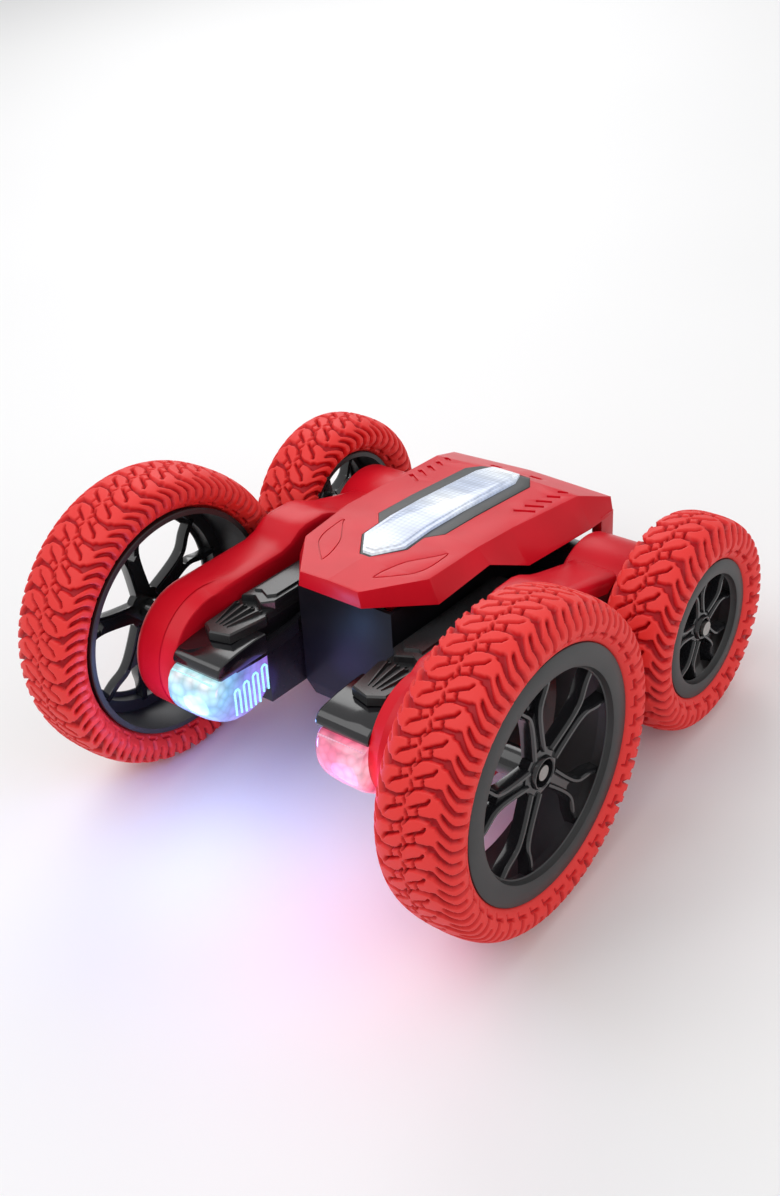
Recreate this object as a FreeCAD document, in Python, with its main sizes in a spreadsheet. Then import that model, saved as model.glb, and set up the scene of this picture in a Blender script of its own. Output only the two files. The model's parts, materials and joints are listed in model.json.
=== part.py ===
import FreeCAD, Part
import math
import os
import re

import Sketcher

# Remote-control stunt car: a slim chassis carries a red hood and swings between two side arms.
# Each arm holds a motor, a spur gear train, a big front wheel and a small rear wheel.
#
# Row frame: +X to the driver's left, +Y to the car's rear, +Z up, floor at Z = 0.
# Origin: middle of the footprint.  The arms and the chassis are modelled in the "axle frame", whose
# x is the row's X, y runs along the line from the front axle to the rear axle, and z is square to it.
# The rear wheels are smaller, so that line drops towards the rear and the axle frame is tilted.

doc = FreeCAD.newDocument("StuntCar")

SIZES = {
    # wheels and axles
    "axle_distance": 99.53, "half_track": 78.6,
    "front_radius": 55, "front_width": 30, "front_bead": 41.4, "front_lip": 42, "front_ring": 34.5,
    "front_face": 12.7, "front_back": 10, "front_shoulder": 8.5, "front_hub": 8.5, "front_stem": 6,
    "rear_radius": 38.4, "rear_width": 25.6, "rear_bead": 24.5, "rear_lip": 25, "rear_ring": 19.8,
    "rear_face": 10.5, "rear_back": 8.5, "rear_shoulder": 7.5, "rear_hub": 6.5, "rear_stem": 4.4,
    "tyre_wall": 2.6, "bead_width": 3, "side_rise": 2, "lip_thick": 1.1, "barrel_thick": 1.4,
    "spoke_top": 2, "spoke_thick": 4.5, "spoke_bar": 2.2, "spoke_spread": 13,
    "hub_start": 61.4, "hub_end": 86.6, "hub_rim": 3,
    "axle_start": 42.4, "axle_end": 86.6, "axle_radius": 2, "axle_thread": 7,
    "screw_core": 1.2, "screw_head": 2.5, "screw_head_tall": 1.6,
    # gear train
    "gear_module": 0.8, "fine_module": 0.5, "front_teeth": 33, "idler_teeth": 32, "rear_teeth": 23,
    "small_teeth": 10, "large_teeth": 36, "pinion_teeth": 9, "mesh_gap": 0.083, "tooth_slack": 0.12,
    "gear_start": 51, "gear_thick": 4.5, "collar_radius": 2.6, "fine_start": 46.2, "fine_thick": 3.2,
    "post_radius": 2, "post_gap": 0.06, "fine_post": 1.2, "train_lean": 29, "motor_drop": 10.7,
    "post_start": 50.3, "fine_post_start": 45.4,
    # arms
    "arm_inner": 44, "arm_outer": 60, "arm_wall": 2, "nose_centre": -5.5, "nose_radius": 23.5,
    "beam_start": 30, "beam_half": 23.8, "hump_start": 40, "hump_end": 53, "hump_half": 29,
    "tail_start": 65, "tail_half": 24, "tail_end": 82, "tail_end_half": 19.5,
    "barrel_radius": 21.5, "barrel_inner": 38.5, "barrel_outer": 64, "barrel_lip": 1.8,
    "cover_inner": 21.2, "cover_step": 25.5, "cover_front": -3, "cover_low": -15, "cover_mid": 8,
    "cover_top": 13.2, "cover_wall": 1.6, "plate_thick": 1.6, "plate_gap": 0.15, "cover_tail": 16,
    "cover_ramp": 84, 
    "bush_radius": 4, "bush_flange": 5, "bush_gap": 0.05, "bush_out": 0.9, "bush_in": 57.2,
    "screw_boss": 2.6, "screw_length": 9.6, "side_play": 0.35, "bead_gap": 0.05, "post_shoulder": 3.4,
    "nose_screw_y": 4, "nose_screw_z": 18.5, "low_screw_y": 4, "low_screw_z": -19, "beam_screw_z": 19,
    "hump_screw_y": 56, "hump_screw_z": 21.3,
    "step_tip_x": 34.1, "step_tip_y": -16.4, "step_in_x": 26.4, "step_in_y": -14.4, "step_out_x": 39.2,
    "step_out_y": -13.3, "step_back_x": 40.4, "step_back_y": 3, "step_side_x": 24,
    "step_top": 16, "slab_top": 19.4, "slab_front": 5.5, "slab_tip": 3.4, "slab_tip_x": 28.9,
    "slab_notch_x": 34.6, "slab_out_x": 38.4, "slab_end": 62, "fin_tall": 1.2,
    "fin_wide": 1.3, "fin_start": -11.5, "fin_end": 1.5, "fin_pitch": 3.5, "fin_first": 27.8,
    "bumper_inner": 20.8, "bumper_outer": 42.3, "bumper_front": -26.6, "bumper_back": -3.2,
    "bumper_low": 5.2, "bumper_nose": 7.6, "bumper_top": 10.8, "bumper_rise": 12.6,
    "lens_inner": 21.6, "lens_outer": 42.2, "lens_top": 5, "lens_front": -31.6, "lens_low": -16.4,
    "lens_back": 2.4, "lens_wall": 1.5,
    "led_radius": 2.4, "led_length": 4, "board_thick": 1.6,
    "motor_start": 23.2, "motor_length": 20, "motor_wide": 15.5, "motor_tall": 12, "motor_boss": 3,
    "motor_shaft": 1,
    # chassis
    "tray_half": 20.2, "tray_front": 13.5, "tray_back": 118, "tray_low": -22, "tray_top": 25.5,
    "tray_wall": 1.6, "tray_slope": 4, "pivot_radius": 7, "pivot_half": 40.4, "pivot_wall": 1.5,
    "pivot_gap": 0.06,
    "post_x": 14.4, "post_front": 22, "post_back": 112, "post_outer": 4, "post_counterbore": 2.7,
    "post_seat": 8, "post_top": 20, "hood_boss": 3.2, "hood_screw": 16, "hood_bore": 5,
    "front_boss_top": 33.4, "back_boss_top": 28.2, "ring_wall": 2.2, "ring_deep": 3,
    "door_half": 15.4, "door_front": 29, "door_back": 88, "door_gap": 0.15, "door_screw": 84,
    "cell_radius": 7, "cell_length": 50, "cell_start": 31.5, "cell_half_pitch": 7.2,
    "board_half": 15.5, "board_front": 31, "board_back": 89, "board_low": 11,
    "chip_wide": 8.5, "chip_place": 52, "chip_tall": 1.6, "driver_wide": 5, "driver_place": 68,
    "crystal_wide": 4, "crystal_place": 44, "crystal_tall": 2.6, "capacitor_radius": 3,
    "capacitor_tall": 6.5, "capacitor_x": 10, "plug_wide": 6, "plug_tall": 5, "plug_pitch": 10,
    "plug_place": 79,
    "switch_place": 23.6, "switch_half": 4.6, "switch_deep": 2.6, "switch_tall": 4.2, "knob_half": 1.7,
    "knob_deep": 1.2, "knob_out": 1.2, "switch_travel": 2.4,
    # hood, as half sections: edge, crease and ridge at each station along the axle line
    "hood_wall": 1.6,
    "nose_y": 7, "nose_edge": 13.4, "nose_low": 28.8, "nose_crease": 12.3, "nose_top": 34.5, "nose_ridge": 35,
    "brow_y": 26, "brow_edge": 30.2, "brow_low": 26.6, "brow_crease": 26.6, "brow_top": 34.9,
    "brow_ridge": 35.9,
    "waist_y": 50, "waist_edge": 33.2, "waist_low": 31, "waist_crease": 28.4, "waist_top": 36.2,
    "waist_ridge": 37,
    "flank_y": 69, "flank_edge": 36, "flank_low": 22.8, "flank_crease": 29, "flank_top": 35.2,
    "flank_ridge": 36.3,
    "rump_y": 106, "rump_edge": 37.2, "rump_low": 20.8, "rump_crease": 31.4, "rump_top": 32.4,
    "rump_ridge": 33.6,
    "stern_y": 122, "stern_edge": 36.6, "stern_low": 20.2, "stern_crease": 35.4, "stern_top": 26.6,
    "stern_ridge": 28,
    "post_drop": 10.8, "post_start_y": 114.2, "post_width": 4,
    # roof lamp
    "lamp_tip": 27, "lamp_neck": 36, "lamp_neck_x": 8.6, "lamp_end": 107.4, "lamp_end_x": 5.6,
    "lamp_side_y": 100, "bezel_x": 14.4, "bezel_start": 50.6, "bezel_end": 101, "bezel_tail": 109.4,
    "bezel_neck_x": 9.8, "bezel_tip": 25.4, "bezel_thick": 2.6, "bezel_low": 1.2, "lamp_gap": 0.1,
    "lamp_proud": 1.1, "lamp_shoulder_y": 45, "window_inset": 1.4, "lamp_board_low": 28.6,
    "lamp_board_half": 5, "lamp_board_front": 40, "lamp_board_back": 98, "lamp_led": 1.7,
}

sheet = doc.addObject("Spreadsheet::Sheet", "Dimensions")
for row, (alias, size) in enumerate(SIZES.items(), start=1):
    sheet.set("A%d" % row, alias)
    sheet.set("B%d" % row, str(size))
    sheet.setAlias("B%d" % row, alias)
doc.recompute()


def value(expression):
    """Number that an expression of cell names gives."""
    return float(sheet.evalExpression(expression))


def bound(expression):
    """The same expression, as other objects of the document must write it."""
    def prefixed(word):
        return "Dimensions." + word.group(0) if word.group(0) in SIZES else word.group(0)
    return re.sub(r"[a-z][a-z_0-9]+", prefixed, expression)


def bind(obj, prop, expression):
    obj.setExpression(prop, bound(expression))


def spelled(number):
    """A worked-out number as it is written in an expression."""
    return "%.4f" % number


V = FreeCAD.Vector
TURN = {
    "XY": FreeCAD.Rotation(),
    "XZ": FreeCAD.Rotation(V(1, 0, 0), 90),
    "YZ": FreeCAD.Rotation(V(1, 1, 1), 120),
}

TILT = math.degrees(math.asin(value("(front_radius - rear_radius) / axle_distance")))
FOOT = value("axle_distance") * math.cos(math.radians(TILT))
FRONT_Y = -(FOOT + value("rear_radius - front_radius")) / 2
FRONT_AXLE = V(0, FRONT_Y, value("front_radius"))
REAR_AXLE = V(0, FRONT_Y + FOOT, value("rear_radius"))
AXLE_FRAME = FreeCAD.Placement(FRONT_AXLE, FreeCAD.Rotation(V(1, 0, 0), -TILT))

nodes = []


def keep(obj, name, placement=None):
    """Give the object its node name and place, and put it on the list of sub-parts."""
    obj.Label = name
    if placement is not None:
        obj.Placement = placement
    nodes.append(obj)
    return obj


def both_sides(make, name, placement=None):
    """Keep the left-hand piece that make() returns, and its mirror image on the other side."""
    piece = keep(make(), "left_" + name, placement)
    twin = doc.addObject("Part::Mirroring", "right_" + name)
    twin.Source = piece
    twin.Normal = (1, 0, 0)
    keep(twin, "right_" + name)


# ---------------------------------------------------------------- drawing helpers

def outline(points, plane="XY", sketch=None):
    """Closed polygon, each corner held by two dimensions that follow the sheet."""
    if sketch is None:
        sketch = doc.addObject("Sketcher::SketchObject", "Outline")
        sketch.Placement = FreeCAD.Placement(V(), TURN[plane])
    first = sketch.GeometryCount
    corners = [V(value(x), value(y), 0) for x, y in points]
    count = len(corners)
    for index in range(count):
        edge = Part.LineSegment(corners[index], corners[(index + 1) % count])
        sketch.addGeometry(edge, False)
    for index in range(count):
        joined = first + (index + 1) % count
        sketch.addConstraint(Sketcher.Constraint("Coincident", first + index, 2, joined, 1))
    for index, place in enumerate(points):
        for kind, expression in zip(("DistanceX", "DistanceY"), place):
            row = Sketcher.Constraint(kind, first + index, 1, value(expression))
            bind(sketch, "Constraints[%d]" % sketch.addConstraint(row), expression)
    return sketch


def prism(points, plane, start, length):
    """Outline pushed square to its plane, from the given height on."""
    solid = doc.addObject("Part::Extrusion", "Prism")
    solid.Base = outline(points, plane)
    solid.DirMode = "Normal"
    bind(solid, "LengthFwd", length)
    solid.Solid = True
    axis = {"XY": "z", "XZ": "y", "YZ": "x"}[plane]
    sign = "-1 * " if plane == "XZ" else ""
    bind(solid, "Placement.Base." + axis, "%s(%s)" % (sign, start))
    return solid


def block(x, y, z, wide, deep, tall):
    """Box with its low corner at x, y, z."""
    solid = doc.addObject("Part::Box", "Block")
    for prop, expression in (("Length", wide), ("Width", deep), ("Height", tall),
                             ("Placement.Base.x", x), ("Placement.Base.y", y), ("Placement.Base.z", z)):
        bind(solid, prop, expression)
    return solid


def rod(radius, start, length, first="0", second="0", axis="x"):
    """Cylinder along x, y or z, from start on; first and second are its other two coordinates."""
    solid = doc.addObject("Part::Cylinder", "Rod")
    turn = {"x": FreeCAD.Rotation(V(0, 1, 0), 90), "y": FreeCAD.Rotation(V(1, 0, 0), -90),
            "z": FreeCAD.Rotation()}[axis]
    solid.Placement = FreeCAD.Placement(V(), turn)
    bind(solid, "Radius", radius)
    bind(solid, "Height", length)
    bind(solid, "Placement.Base." + axis, start)
    others = [name for name in "xyz" if name != axis]
    bind(solid, "Placement.Base." + others[0], first)
    bind(solid, "Placement.Base." + others[1], second)
    return solid


def fuse(*shapes):
    solid = doc.addObject("Part::MultiFuse", "Fuse")
    solid.Shapes = list(shapes)
    solid.Refine = True
    return solid


def group(*shapes):
    """Several loose solids that are one node."""
    bundle = doc.addObject("Part::Compound", "Group")
    bundle.Links = list(shapes)
    return bundle


def common(*shapes):
    solid = doc.addObject("Part::MultiCommon", "Common")
    solid.Shapes = list(shapes)
    return solid


def cut(base, *tools):
    solid = doc.addObject("Part::Cut", "Cut")
    solid.Base = base
    solid.Tool = tools[0] if len(tools) == 1 else fuse(*tools)
    solid.Refine = True
    return solid


def body_sketch(body, role, points, name):
    """Sketch on one of the body's own origin planes."""
    sketch = body.newObject("Sketcher::SketchObject", name)
    plane = [item for item in body.Origin.OriginFeatures if item.Role == role][0]
    sketch.AttachmentSupport = [(plane, "")]
    sketch.MapMode = "FlatFace"
    outline(points, sketch=sketch)
    return sketch


def origin_axis(body, role):
    return [item for item in body.Origin.OriginFeatures if item.Role == role][0]


def turned(name, points):
    """Body of revolution about x: the points are (x, radius)."""
    body = doc.addObject("PartDesign::Body", name)
    profile = body_sketch(body, "XY_Plane", points, name + "_profile")
    ring = body.newObject("PartDesign::Revolution", name + "_turning")
    ring.Profile = profile
    ring.ReferenceAxis = (origin_axis(body, "X_Axis"), [""])
    ring.Angle = 360
    profile.Visibility = False
    return body


# ---------------------------------------------------------------- wheels

def tyre(end):
    """C-shaped tyre section with two beads, rounded at the shoulders."""
    half = "%s_width / 2" % end
    inside = "(%s_width / 2 - tyre_wall)" % end
    bead = "%s_bead" % end
    rise = "(%s_bead + side_rise)" % end
    crown = "%s_radius" % end
    cavity = "(%s_radius - tyre_wall)" % end
    outer_bead = "(%s_face - lip_thick)" % end
    inner_bead = "(lip_thick - %s_back)" % end
    mid = "half_track + "
    lip = "(%s_lip + bead_gap)" % end
    points = [
        (mid + inner_bead, bead), (mid + inner_bead, lip), (mid + "-1 * " + half, rise),
        (mid + "-1 * " + half, crown), (mid + half, crown), (mid + half, rise),
        (mid + outer_bead, lip), (mid + outer_bead, bead),
        (mid + outer_bead + " - bead_width", bead), (mid + inside, rise + " + bead_width"),
        (mid + inside, cavity), (mid + "-1 * " + inside, cavity),
        (mid + "-1 * " + inside, rise + " + bead_width"), (mid + inner_bead + " + bead_width", bead),
    ]
    body = turned(end + "_tyre_body", points)
    doc.recompute()
    section = body.Tip
    crowns = [
        "Edge%d" % (number + 1) for number, edge in enumerate(body.Shape.Edges)
        if hasattr(edge.Curve, "Radius") and abs(edge.Curve.Radius - value(crown)) < 0.01
    ]
    shoulder = body.newObject("PartDesign::Fillet", end + "_shoulders")
    shoulder.Base = (section, crowns)
    bind(shoulder, "Radius", end + "_shoulder")
    return body


def rim(end):
    """Rim: lipped barrel, flat face ring, hub tube and five spokes that fork into two arms."""
    face = "half_track + %s_face" % end
    back = "half_track - %s_back" % end
    bead = "%s_bead" % end
    lip = "%s_lip" % end
    ring = "%s_ring" % end
    well = "(%s_bead - barrel_thick)" % end
    points = [
        (back, well), (back, lip), (back + " + lip_thick", lip), (back + " + lip_thick", bead),
        (face + " - lip_thick", bead), (face + " - lip_thick", lip), (face, lip), (face, ring),
        (face + " - 2 * lip_thick", ring), (face + " - 2 * lip_thick", well),
    ]
    body = turned(end + "_rim_body", points)
    hub = "%s_hub" % end
    spoke_face = face + " - spoke_top"
    spoke_back = spoke_face + " - spoke_thick"
    hub_points = [
        ("hub_start", "axle_radius"), ("hub_start", "axle_radius + hub_rim"),
        (spoke_back, "axle_radius + hub_rim"), (spoke_back, hub), (spoke_face, hub),
        (spoke_face, hub + " - hub_rim / 2"), ("hub_end", hub + " - hub_rim / 2"), ("hub_end", "axle_radius"),
    ]
    hub_sketch = body_sketch(body, "XY_Plane", hub_points, end + "_hub_profile")
    hub_ring = body.newObject("PartDesign::Revolution", end + "_hub_turning")
    hub_ring.Profile = hub_sketch
    hub_ring.ReferenceAxis = (origin_axis(body, "X_Axis"), [""])
    hub_ring.Angle = 360
    reach = "(%s_ring + 1)" % end
    stem = "%s_stem / 2" % end
    fork = "(%s_hub + %s_stem)" % (end, end)
    swing = "spoke_spread"
    tip_side = "(%s * sin(1deg * %s))" % (reach, swing)
    tip_up = "(%s * cos(1deg * %s))" % (reach, swing)
    spoke_points = [
        ("-1 * " + stem, hub + " - 1"), (stem, hub + " - 1"), (stem, fork),
        (tip_side + " + spoke_bar", tip_up), (tip_side + " - spoke_bar / 4", tip_up + " + 0.4"),
        ("0", fork + " + spoke_bar"),
        ("-1 * " + tip_side + " + spoke_bar / 4", tip_up + " + 0.4"),
        ("-1 * " + tip_side + " - spoke_bar", tip_up), ("-1 * " + stem, fork),
    ]
    spoke_sketch = body_sketch(body, "YZ_Plane", spoke_points, end + "_spoke_outline")
    bind(spoke_sketch, "AttachmentOffset.Base.z", spoke_back)
    spoke = body.newObject("PartDesign::Pad", end + "_spoke")
    spoke.Profile = spoke_sketch
    bind(spoke, "Length", "spoke_thick")
    doc.recompute()
    star = body.newObject("PartDesign::PolarPattern", end + "_spokes")
    star.Originals = [spoke]
    star.Axis = (origin_axis(body, "X_Axis"), [""])
    star.Angle = 360
    star.Occurrences = 5
    body.Tip = star
    return body


def axle():
    """Steel axle with a threaded hole in its outer end for the wheel's screw."""
    shaft = rod("axle_radius", "axle_start", "axle_end - axle_start")
    thread = rod("screw_core", "axle_end - axle_thread", "axle_thread")
    return cut(shaft, thread)


def hub_screw():
    head = rod("screw_head", "axle_end", "screw_head_tall")
    shank = rod("screw_core", "axle_end - axle_thread + 1", "axle_thread - 1")
    return fuse(head, shank)


# ---------------------------------------------------------------- gears

def gear_wire(module, teeth, phase):
    """Spur gear outline about the origin of its own plane; a tooth is centred at the phase angle."""
    pitch = module * teeth / 2
    tip = pitch + module
    root = pitch - 1.2 * module
    base = pitch * math.cos(math.radians(20))
    slack = value("tooth_slack") / 2

    def half_angle(radius):
        """Half of a tooth's angle at a radius, on involute flanks thinned by the slack."""
        def involute(at):
            return math.sqrt(max((at / base) ** 2 - 1, 0)) - math.acos(min(base / max(at, base), 1))
        return math.pi / (2 * teeth) + involute(pitch) - involute(radius) - slack / radius

    flank = [(radius, half_angle(radius)) for radius in (root, pitch, tip)]
    corners = []
    for tooth in range(teeth):
        middle = phase + 2 * math.pi * tooth / teeth
        for radius, half in flank:
            corners.append((radius, middle - half))
        for radius, half in reversed(flank):
            corners.append((radius, middle + half))
    points = [V(0, radius * math.cos(angle), radius * math.sin(angle)) for radius, angle in corners]
    return Part.Wire(Part.makePolygon(points + points[:1]))


def gear_solid(module, teeth, phase, start, thick):
    face = Part.Face(gear_wire(module, teeth, phase))
    solid = face.extrude(V(thick, 0, 0))
    solid.translate(V(start, 0, 0))
    return solid


def bored(solid, radius, start, length):
    return solid.cut(Part.makeCylinder(radius, length, V(start, 0, 0), V(1, 0, 0)))


def meshed_phase(phase, teeth, toward, next_teeth):
    """Tooth phase of the next gear, which lies in the direction toward, so that the teeth interlock."""
    offset = phase - toward
    return toward + math.pi - offset * teeth / next_teeth + math.pi / next_teeth


class Train:
    """Places and tooth phases of the gears of one arm, in the axle frame as (y, z)."""

    module = value("gear_module")
    gap = value("mesh_gap")
    front = int(value("front_teeth"))
    idler = int(value("idler_teeth"))
    rear = int(value("rear_teeth"))
    small = int(value("small_teeth"))
    large = int(value("large_teeth"))
    pinion = int(value("pinion_teeth"))

    first_step = module * (front + idler) / 2 + gap
    idler_step = module * idler + gap
    idlers = [first_step, first_step + idler_step, first_step + 2 * idler_step]

    phases = [0.0]
    for count, following in ((front, idler), (idler, idler), (idler, idler), (idler, rear)):
        phases.append(meshed_phase(phases[-1], count, 0.0, following))

    lean = math.radians(90 + value("train_lean"))
    reach = module * (idler + small) / 2 + gap
    reducer = (idlers[1] + reach * math.cos(lean), reach * math.sin(lean))
    reducer_phase = meshed_phase(phases[2], idler, lean, small)

    motor_reach = value("fine_module") * (large + pinion) / 2 + gap
    drop = value("motor_drop")
    motor = (reducer[0] + math.sqrt(motor_reach ** 2 - drop ** 2), reducer[1] - drop)
    motor_angle = math.atan2(motor[1] - reducer[1], motor[0] - reducer[0])
    pinion_phase = meshed_phase(reducer_phase, large, motor_angle, pinion)


def gear(name, shape, y, z):
    """Toothed piece: its outline is worked out from the sheet by formula, not drawn."""
    for side, sign in (("left_", 1), ("right_", -1)):
        piece = doc.addObject("Part::Feature", side + name)
        piece.Shape = shape if sign > 0 else shape.mirror(V(), V(1, 0, 0))
        keep(piece, side + name, AXLE_FRAME.multiply(FreeCAD.Placement(V(0, y, z), FreeCAD.Rotation())))


def plain_gear(teeth, phase, bore):
    start = value("gear_start")
    thick = value("gear_thick")
    return bored(gear_solid(Train.module, teeth, phase, start, thick), bore, start, thick)


def make_gears():
    axle_bore = value("axle_radius")
    post_bore = value("post_radius + post_gap")
    gear("front_axle_gear", plain_gear(Train.front, Train.phases[0], axle_bore), 0, 0)
    for number, name in enumerate(("front_idler", "middle_idler", "rear_idler")):
        shape = plain_gear(Train.idler, Train.phases[number + 1], post_bore)
        gear(name, shape, Train.idlers[number], 0)
    gear("rear_axle_gear", plain_gear(Train.rear, Train.phases[4], axle_bore), value("axle_distance"), 0)
    fine = value("fine_module")
    start = value("fine_start")
    thick = value("fine_thick")
    whole = value("gear_start + gear_thick") - start
    large = gear_solid(fine, Train.large, Train.reducer_phase, start, thick)
    collar = Part.makeCylinder(value("collar_radius"), whole - value("gear_thick"), V(start, 0, 0), V(1, 0, 0))
    small = gear_solid(Train.module, Train.small, Train.reducer_phase, value("gear_start"), value("gear_thick"))
    reducer = bored(large.fuse([collar, small]), value("fine_post + post_gap"), start, whole)
    gear("reduction_gear", reducer, *Train.reducer)
    pinion = gear_solid(fine, Train.pinion, Train.pinion_phase, start, thick)
    gear("motor_pinion", bored(pinion, value("motor_shaft"), start, thick), *Train.motor)


# ---------------------------------------------------------------- arms

def arm_form(inset, start, end):
    """Outer form of an arm, shrunk by the inset, between two x values: nose, beam, hump and tail."""
    length = "(%s) - (%s)" % (end, start)
    nose = rod("nose_radius - (%s)" % inset, start, length, "nose_centre")
    barrel = rod("barrel_radius - (%s)" % inset, start, length, "axle_distance")
    top = [
        ("nose_centre", "nose_radius"), ("beam_start", "beam_half"), ("hump_start", "hump_half"),
        ("hump_end", "hump_half"), ("tail_start", "tail_half"), ("tail_end", "tail_end_half"),
        ("axle_distance", "tail_end_half"),
    ]
    upper = [(y, "%s - (%s)" % (z, inset)) for y, z in top]
    lower = [(y, "-1 * (%s)" % z) for y, z in reversed(upper)]
    beam = prism(upper + lower, "YZ", start, length)
    return fuse(nose, barrel, beam)


SCREW_SPOTS = [("nose_screw_y", "nose_screw_z"), ("low_screw_y", "low_screw_z"),
               ("beam_start", "beam_screw_z"), ("beam_start", "-1 * beam_screw_z"),
               ("hump_screw_y", "hump_screw_z"), ("hump_screw_y", "-1 * hump_screw_z")]


def arm_shell():
    """Red outer shell of the arm, with the gear posts, the screw bosses and the round tail barrel."""
    barrel = rod("barrel_radius", "barrel_inner", "barrel_outer - barrel_inner", "axle_distance")
    hollow = rod("barrel_radius - arm_wall", "barrel_inner", "arm_outer - barrel_inner - arm_wall",
                 "axle_distance")
    mouth = rod("barrel_radius - barrel_lip", "arm_outer", "barrel_outer - arm_outer", "axle_distance")
    doorway = block("barrel_inner", "axle_distance - barrel_radius - 1", "-1 * cover_tail - plate_gap",
                    "arm_inner - barrel_inner", "barrel_radius - 7", "2 * (cover_tail + plate_gap)")
    skin = cut(fuse(arm_form("0", "arm_inner", "arm_outer"), barrel),
               arm_form("arm_wall", "arm_inner", "arm_outer - arm_wall"),
               arm_form("arm_wall", "arm_inner - plate_thick - plate_gap", "arm_inner"), hollow, mouth, doorway)
    inside = "arm_outer - arm_wall"
    shoulder = "(gear_start + gear_thick + side_play)"
    posts = []
    for centre in map(spelled, Train.idlers):
        posts.append(rod("post_radius", "post_start", inside + " - post_start", centre))
        posts.append(rod("post_shoulder", shoulder, "%s - %s" % (inside, shoulder), centre))
    spot = map(spelled, Train.reducer)
    posts.append(rod("fine_post", "fine_post_start", inside + " - fine_post_start", *spot))
    bosses = [rod("screw_boss", "arm_inner", inside + " - arm_inner", *spot) for spot in SCREW_SPOTS]
    bearing_bosses = [rod("bush_radius + 2", shoulder, "%s - %s" % (inside, shoulder), centre)
                      for centre in ("0", "axle_distance")]
    holes = [rod("screw_core", "arm_inner", "screw_length", *spot) for spot in SCREW_SPOTS]
    bores = [rod("bush_radius", "gear_start", "arm_outer - gear_start", centre)
             for centre in ("0", "axle_distance")]
    return cut(fuse(skin, *(posts + bosses + bearing_bosses)), *(holes + bores))


def cover_form(inset):
    """Black inner half of the arm: a low block beside the chassis and a raised back under the plate."""
    wall = "(%s)" % inset
    low = [
        ("cover_front + " + wall, "cover_low + " + wall), ("cover_ramp", "cover_low + " + wall),
        ("axle_distance", "%s - cover_tail" % wall), ("axle_distance", "cover_tail - " + wall),
        ("cover_ramp", "cover_mid - %s" % wall), ("cover_front + " + wall, "cover_mid - " + wall),
    ]
    high = [
        ("cover_front + " + wall, "cover_mid - 1 - " + wall), ("cover_ramp", "cover_mid - 1 - " + wall),
        ("cover_ramp", "cover_top - " + wall), ("cover_front + " + wall, "cover_top - " + wall),
    ]
    lower = prism(low, "YZ", "cover_inner + " + wall, "arm_inner - cover_inner - " + wall)
    upper = prism(high, "YZ", "cover_step + " + wall, "arm_inner - cover_step - " + wall)
    tail = rod("cover_tail - " + wall, "cover_inner + " + wall, "arm_inner - cover_inner - " + wall,
               "axle_distance")
    return fuse(lower, upper, tail)


def arm_cover():
    """Inner cover with the closing plate, the motor bay, the pivot bore and the inner bearing seats."""
    plate_start = "arm_inner - plate_thick"
    plate = arm_form("arm_wall + plate_gap", plate_start, "arm_inner")
    hollow = cover_form("cover_wall")
    motor_y = spelled(Train.motor[0])
    bay = block("cover_inner + cover_wall", motor_y + " - motor_wide / 2 - 0.2", "cover_low + cover_wall",
                "arm_inner - cover_inner", "motor_wide + 0.4", "cover_top - cover_low - 2 * cover_wall")
    front_web = rod("bush_radius + 3", plate_start, "plate_thick", "0")
    sleeve = rod("pivot_radius + pivot_gap + cover_wall", "cover_inner", "arm_inner - cover_inner",
                 "axle_distance")
    tail_web = rod("cover_tail - 1", plate_start, "plate_thick", "axle_distance")
    skin = cut(fuse(plate, cover_form("0")), hollow)
    whole = fuse(skin, front_web, sleeve, tail_web)
    bore = rod("pivot_radius + pivot_gap", "cover_inner", "pivot_half + 0.4 - cover_inner", "axle_distance")
    seats = [rod("bush_radius", plate_start + " - 2", "plate_thick + 2", centre)
             for centre in ("0", "axle_distance")]
    holes = [rod("screw_core", plate_start, "plate_thick", *spot) for spot in SCREW_SPOTS]
    return cut(whole, bay, bore, *(seats + holes))


def axle_bushes():
    """Two brass bushes for each of the two axles: one in the cover, one in the shell."""
    rings = []
    for centre in ("0", "axle_distance"):
        inner = rod("bush_radius", "arm_inner - plate_thick", "plate_thick", centre)
        outer = rod("bush_radius", "bush_in", "arm_outer - bush_in", centre)
        flange = rod("bush_flange", "arm_outer", "bush_out", centre)
        bore = rod("axle_radius + bush_gap", "axle_start - 2", "arm_outer", centre)
        rings.append(cut(inner, bore))
        rings.append(cut(fuse(outer, flange), bore))
    return group(*rings)


def arm_screws():
    screws = []
    for spot in SCREW_SPOTS:
        seat = "(arm_inner - plate_thick)"
        head = rod("screw_head", seat + " - screw_head_tall", "screw_head_tall", *spot)
        shank = rod("screw_core", seat, "plate_thick + screw_length - 0.5", *spot)
        screws.append(fuse(head, shank))
    return group(*screws)


def step_plate():
    """Clawed plate on the arm, with four fins in front and a raised slab behind."""
    claw = [
        ("step_in_x", "step_in_y"), ("step_tip_x", "step_tip_y"), ("step_out_x", "step_out_y"),
        ("step_back_x", "step_back_y"), ("step_back_x", "slab_end"), ("cover_step", "slab_end"),
        ("cover_step", "step_back_y"), ("step_side_x", "1"),
    ]
    slab = [
        ("cover_step", "slab_front"), ("slab_tip_x", "slab_tip"), ("slab_notch_x", "slab_front + 0.6"),
        ("slab_out_x", "slab_tip + 0.6"), ("slab_out_x", "slab_end"), ("cover_step", "slab_end"),
    ]
    base = prism(claw, "XY", "cover_top", "step_top - cover_top")
    raised = prism(slab, "XY", "step_top - 0.5", "slab_top - step_top + 0.5")
    fins = [block("fin_first + fin_pitch * %d" % row, "fin_start", "step_top - 0.3", "fin_wide",
                  "fin_end - fin_start", "fin_tall + 0.3") for row in range(4)]
    return fuse(base, raised, *fins)


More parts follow.
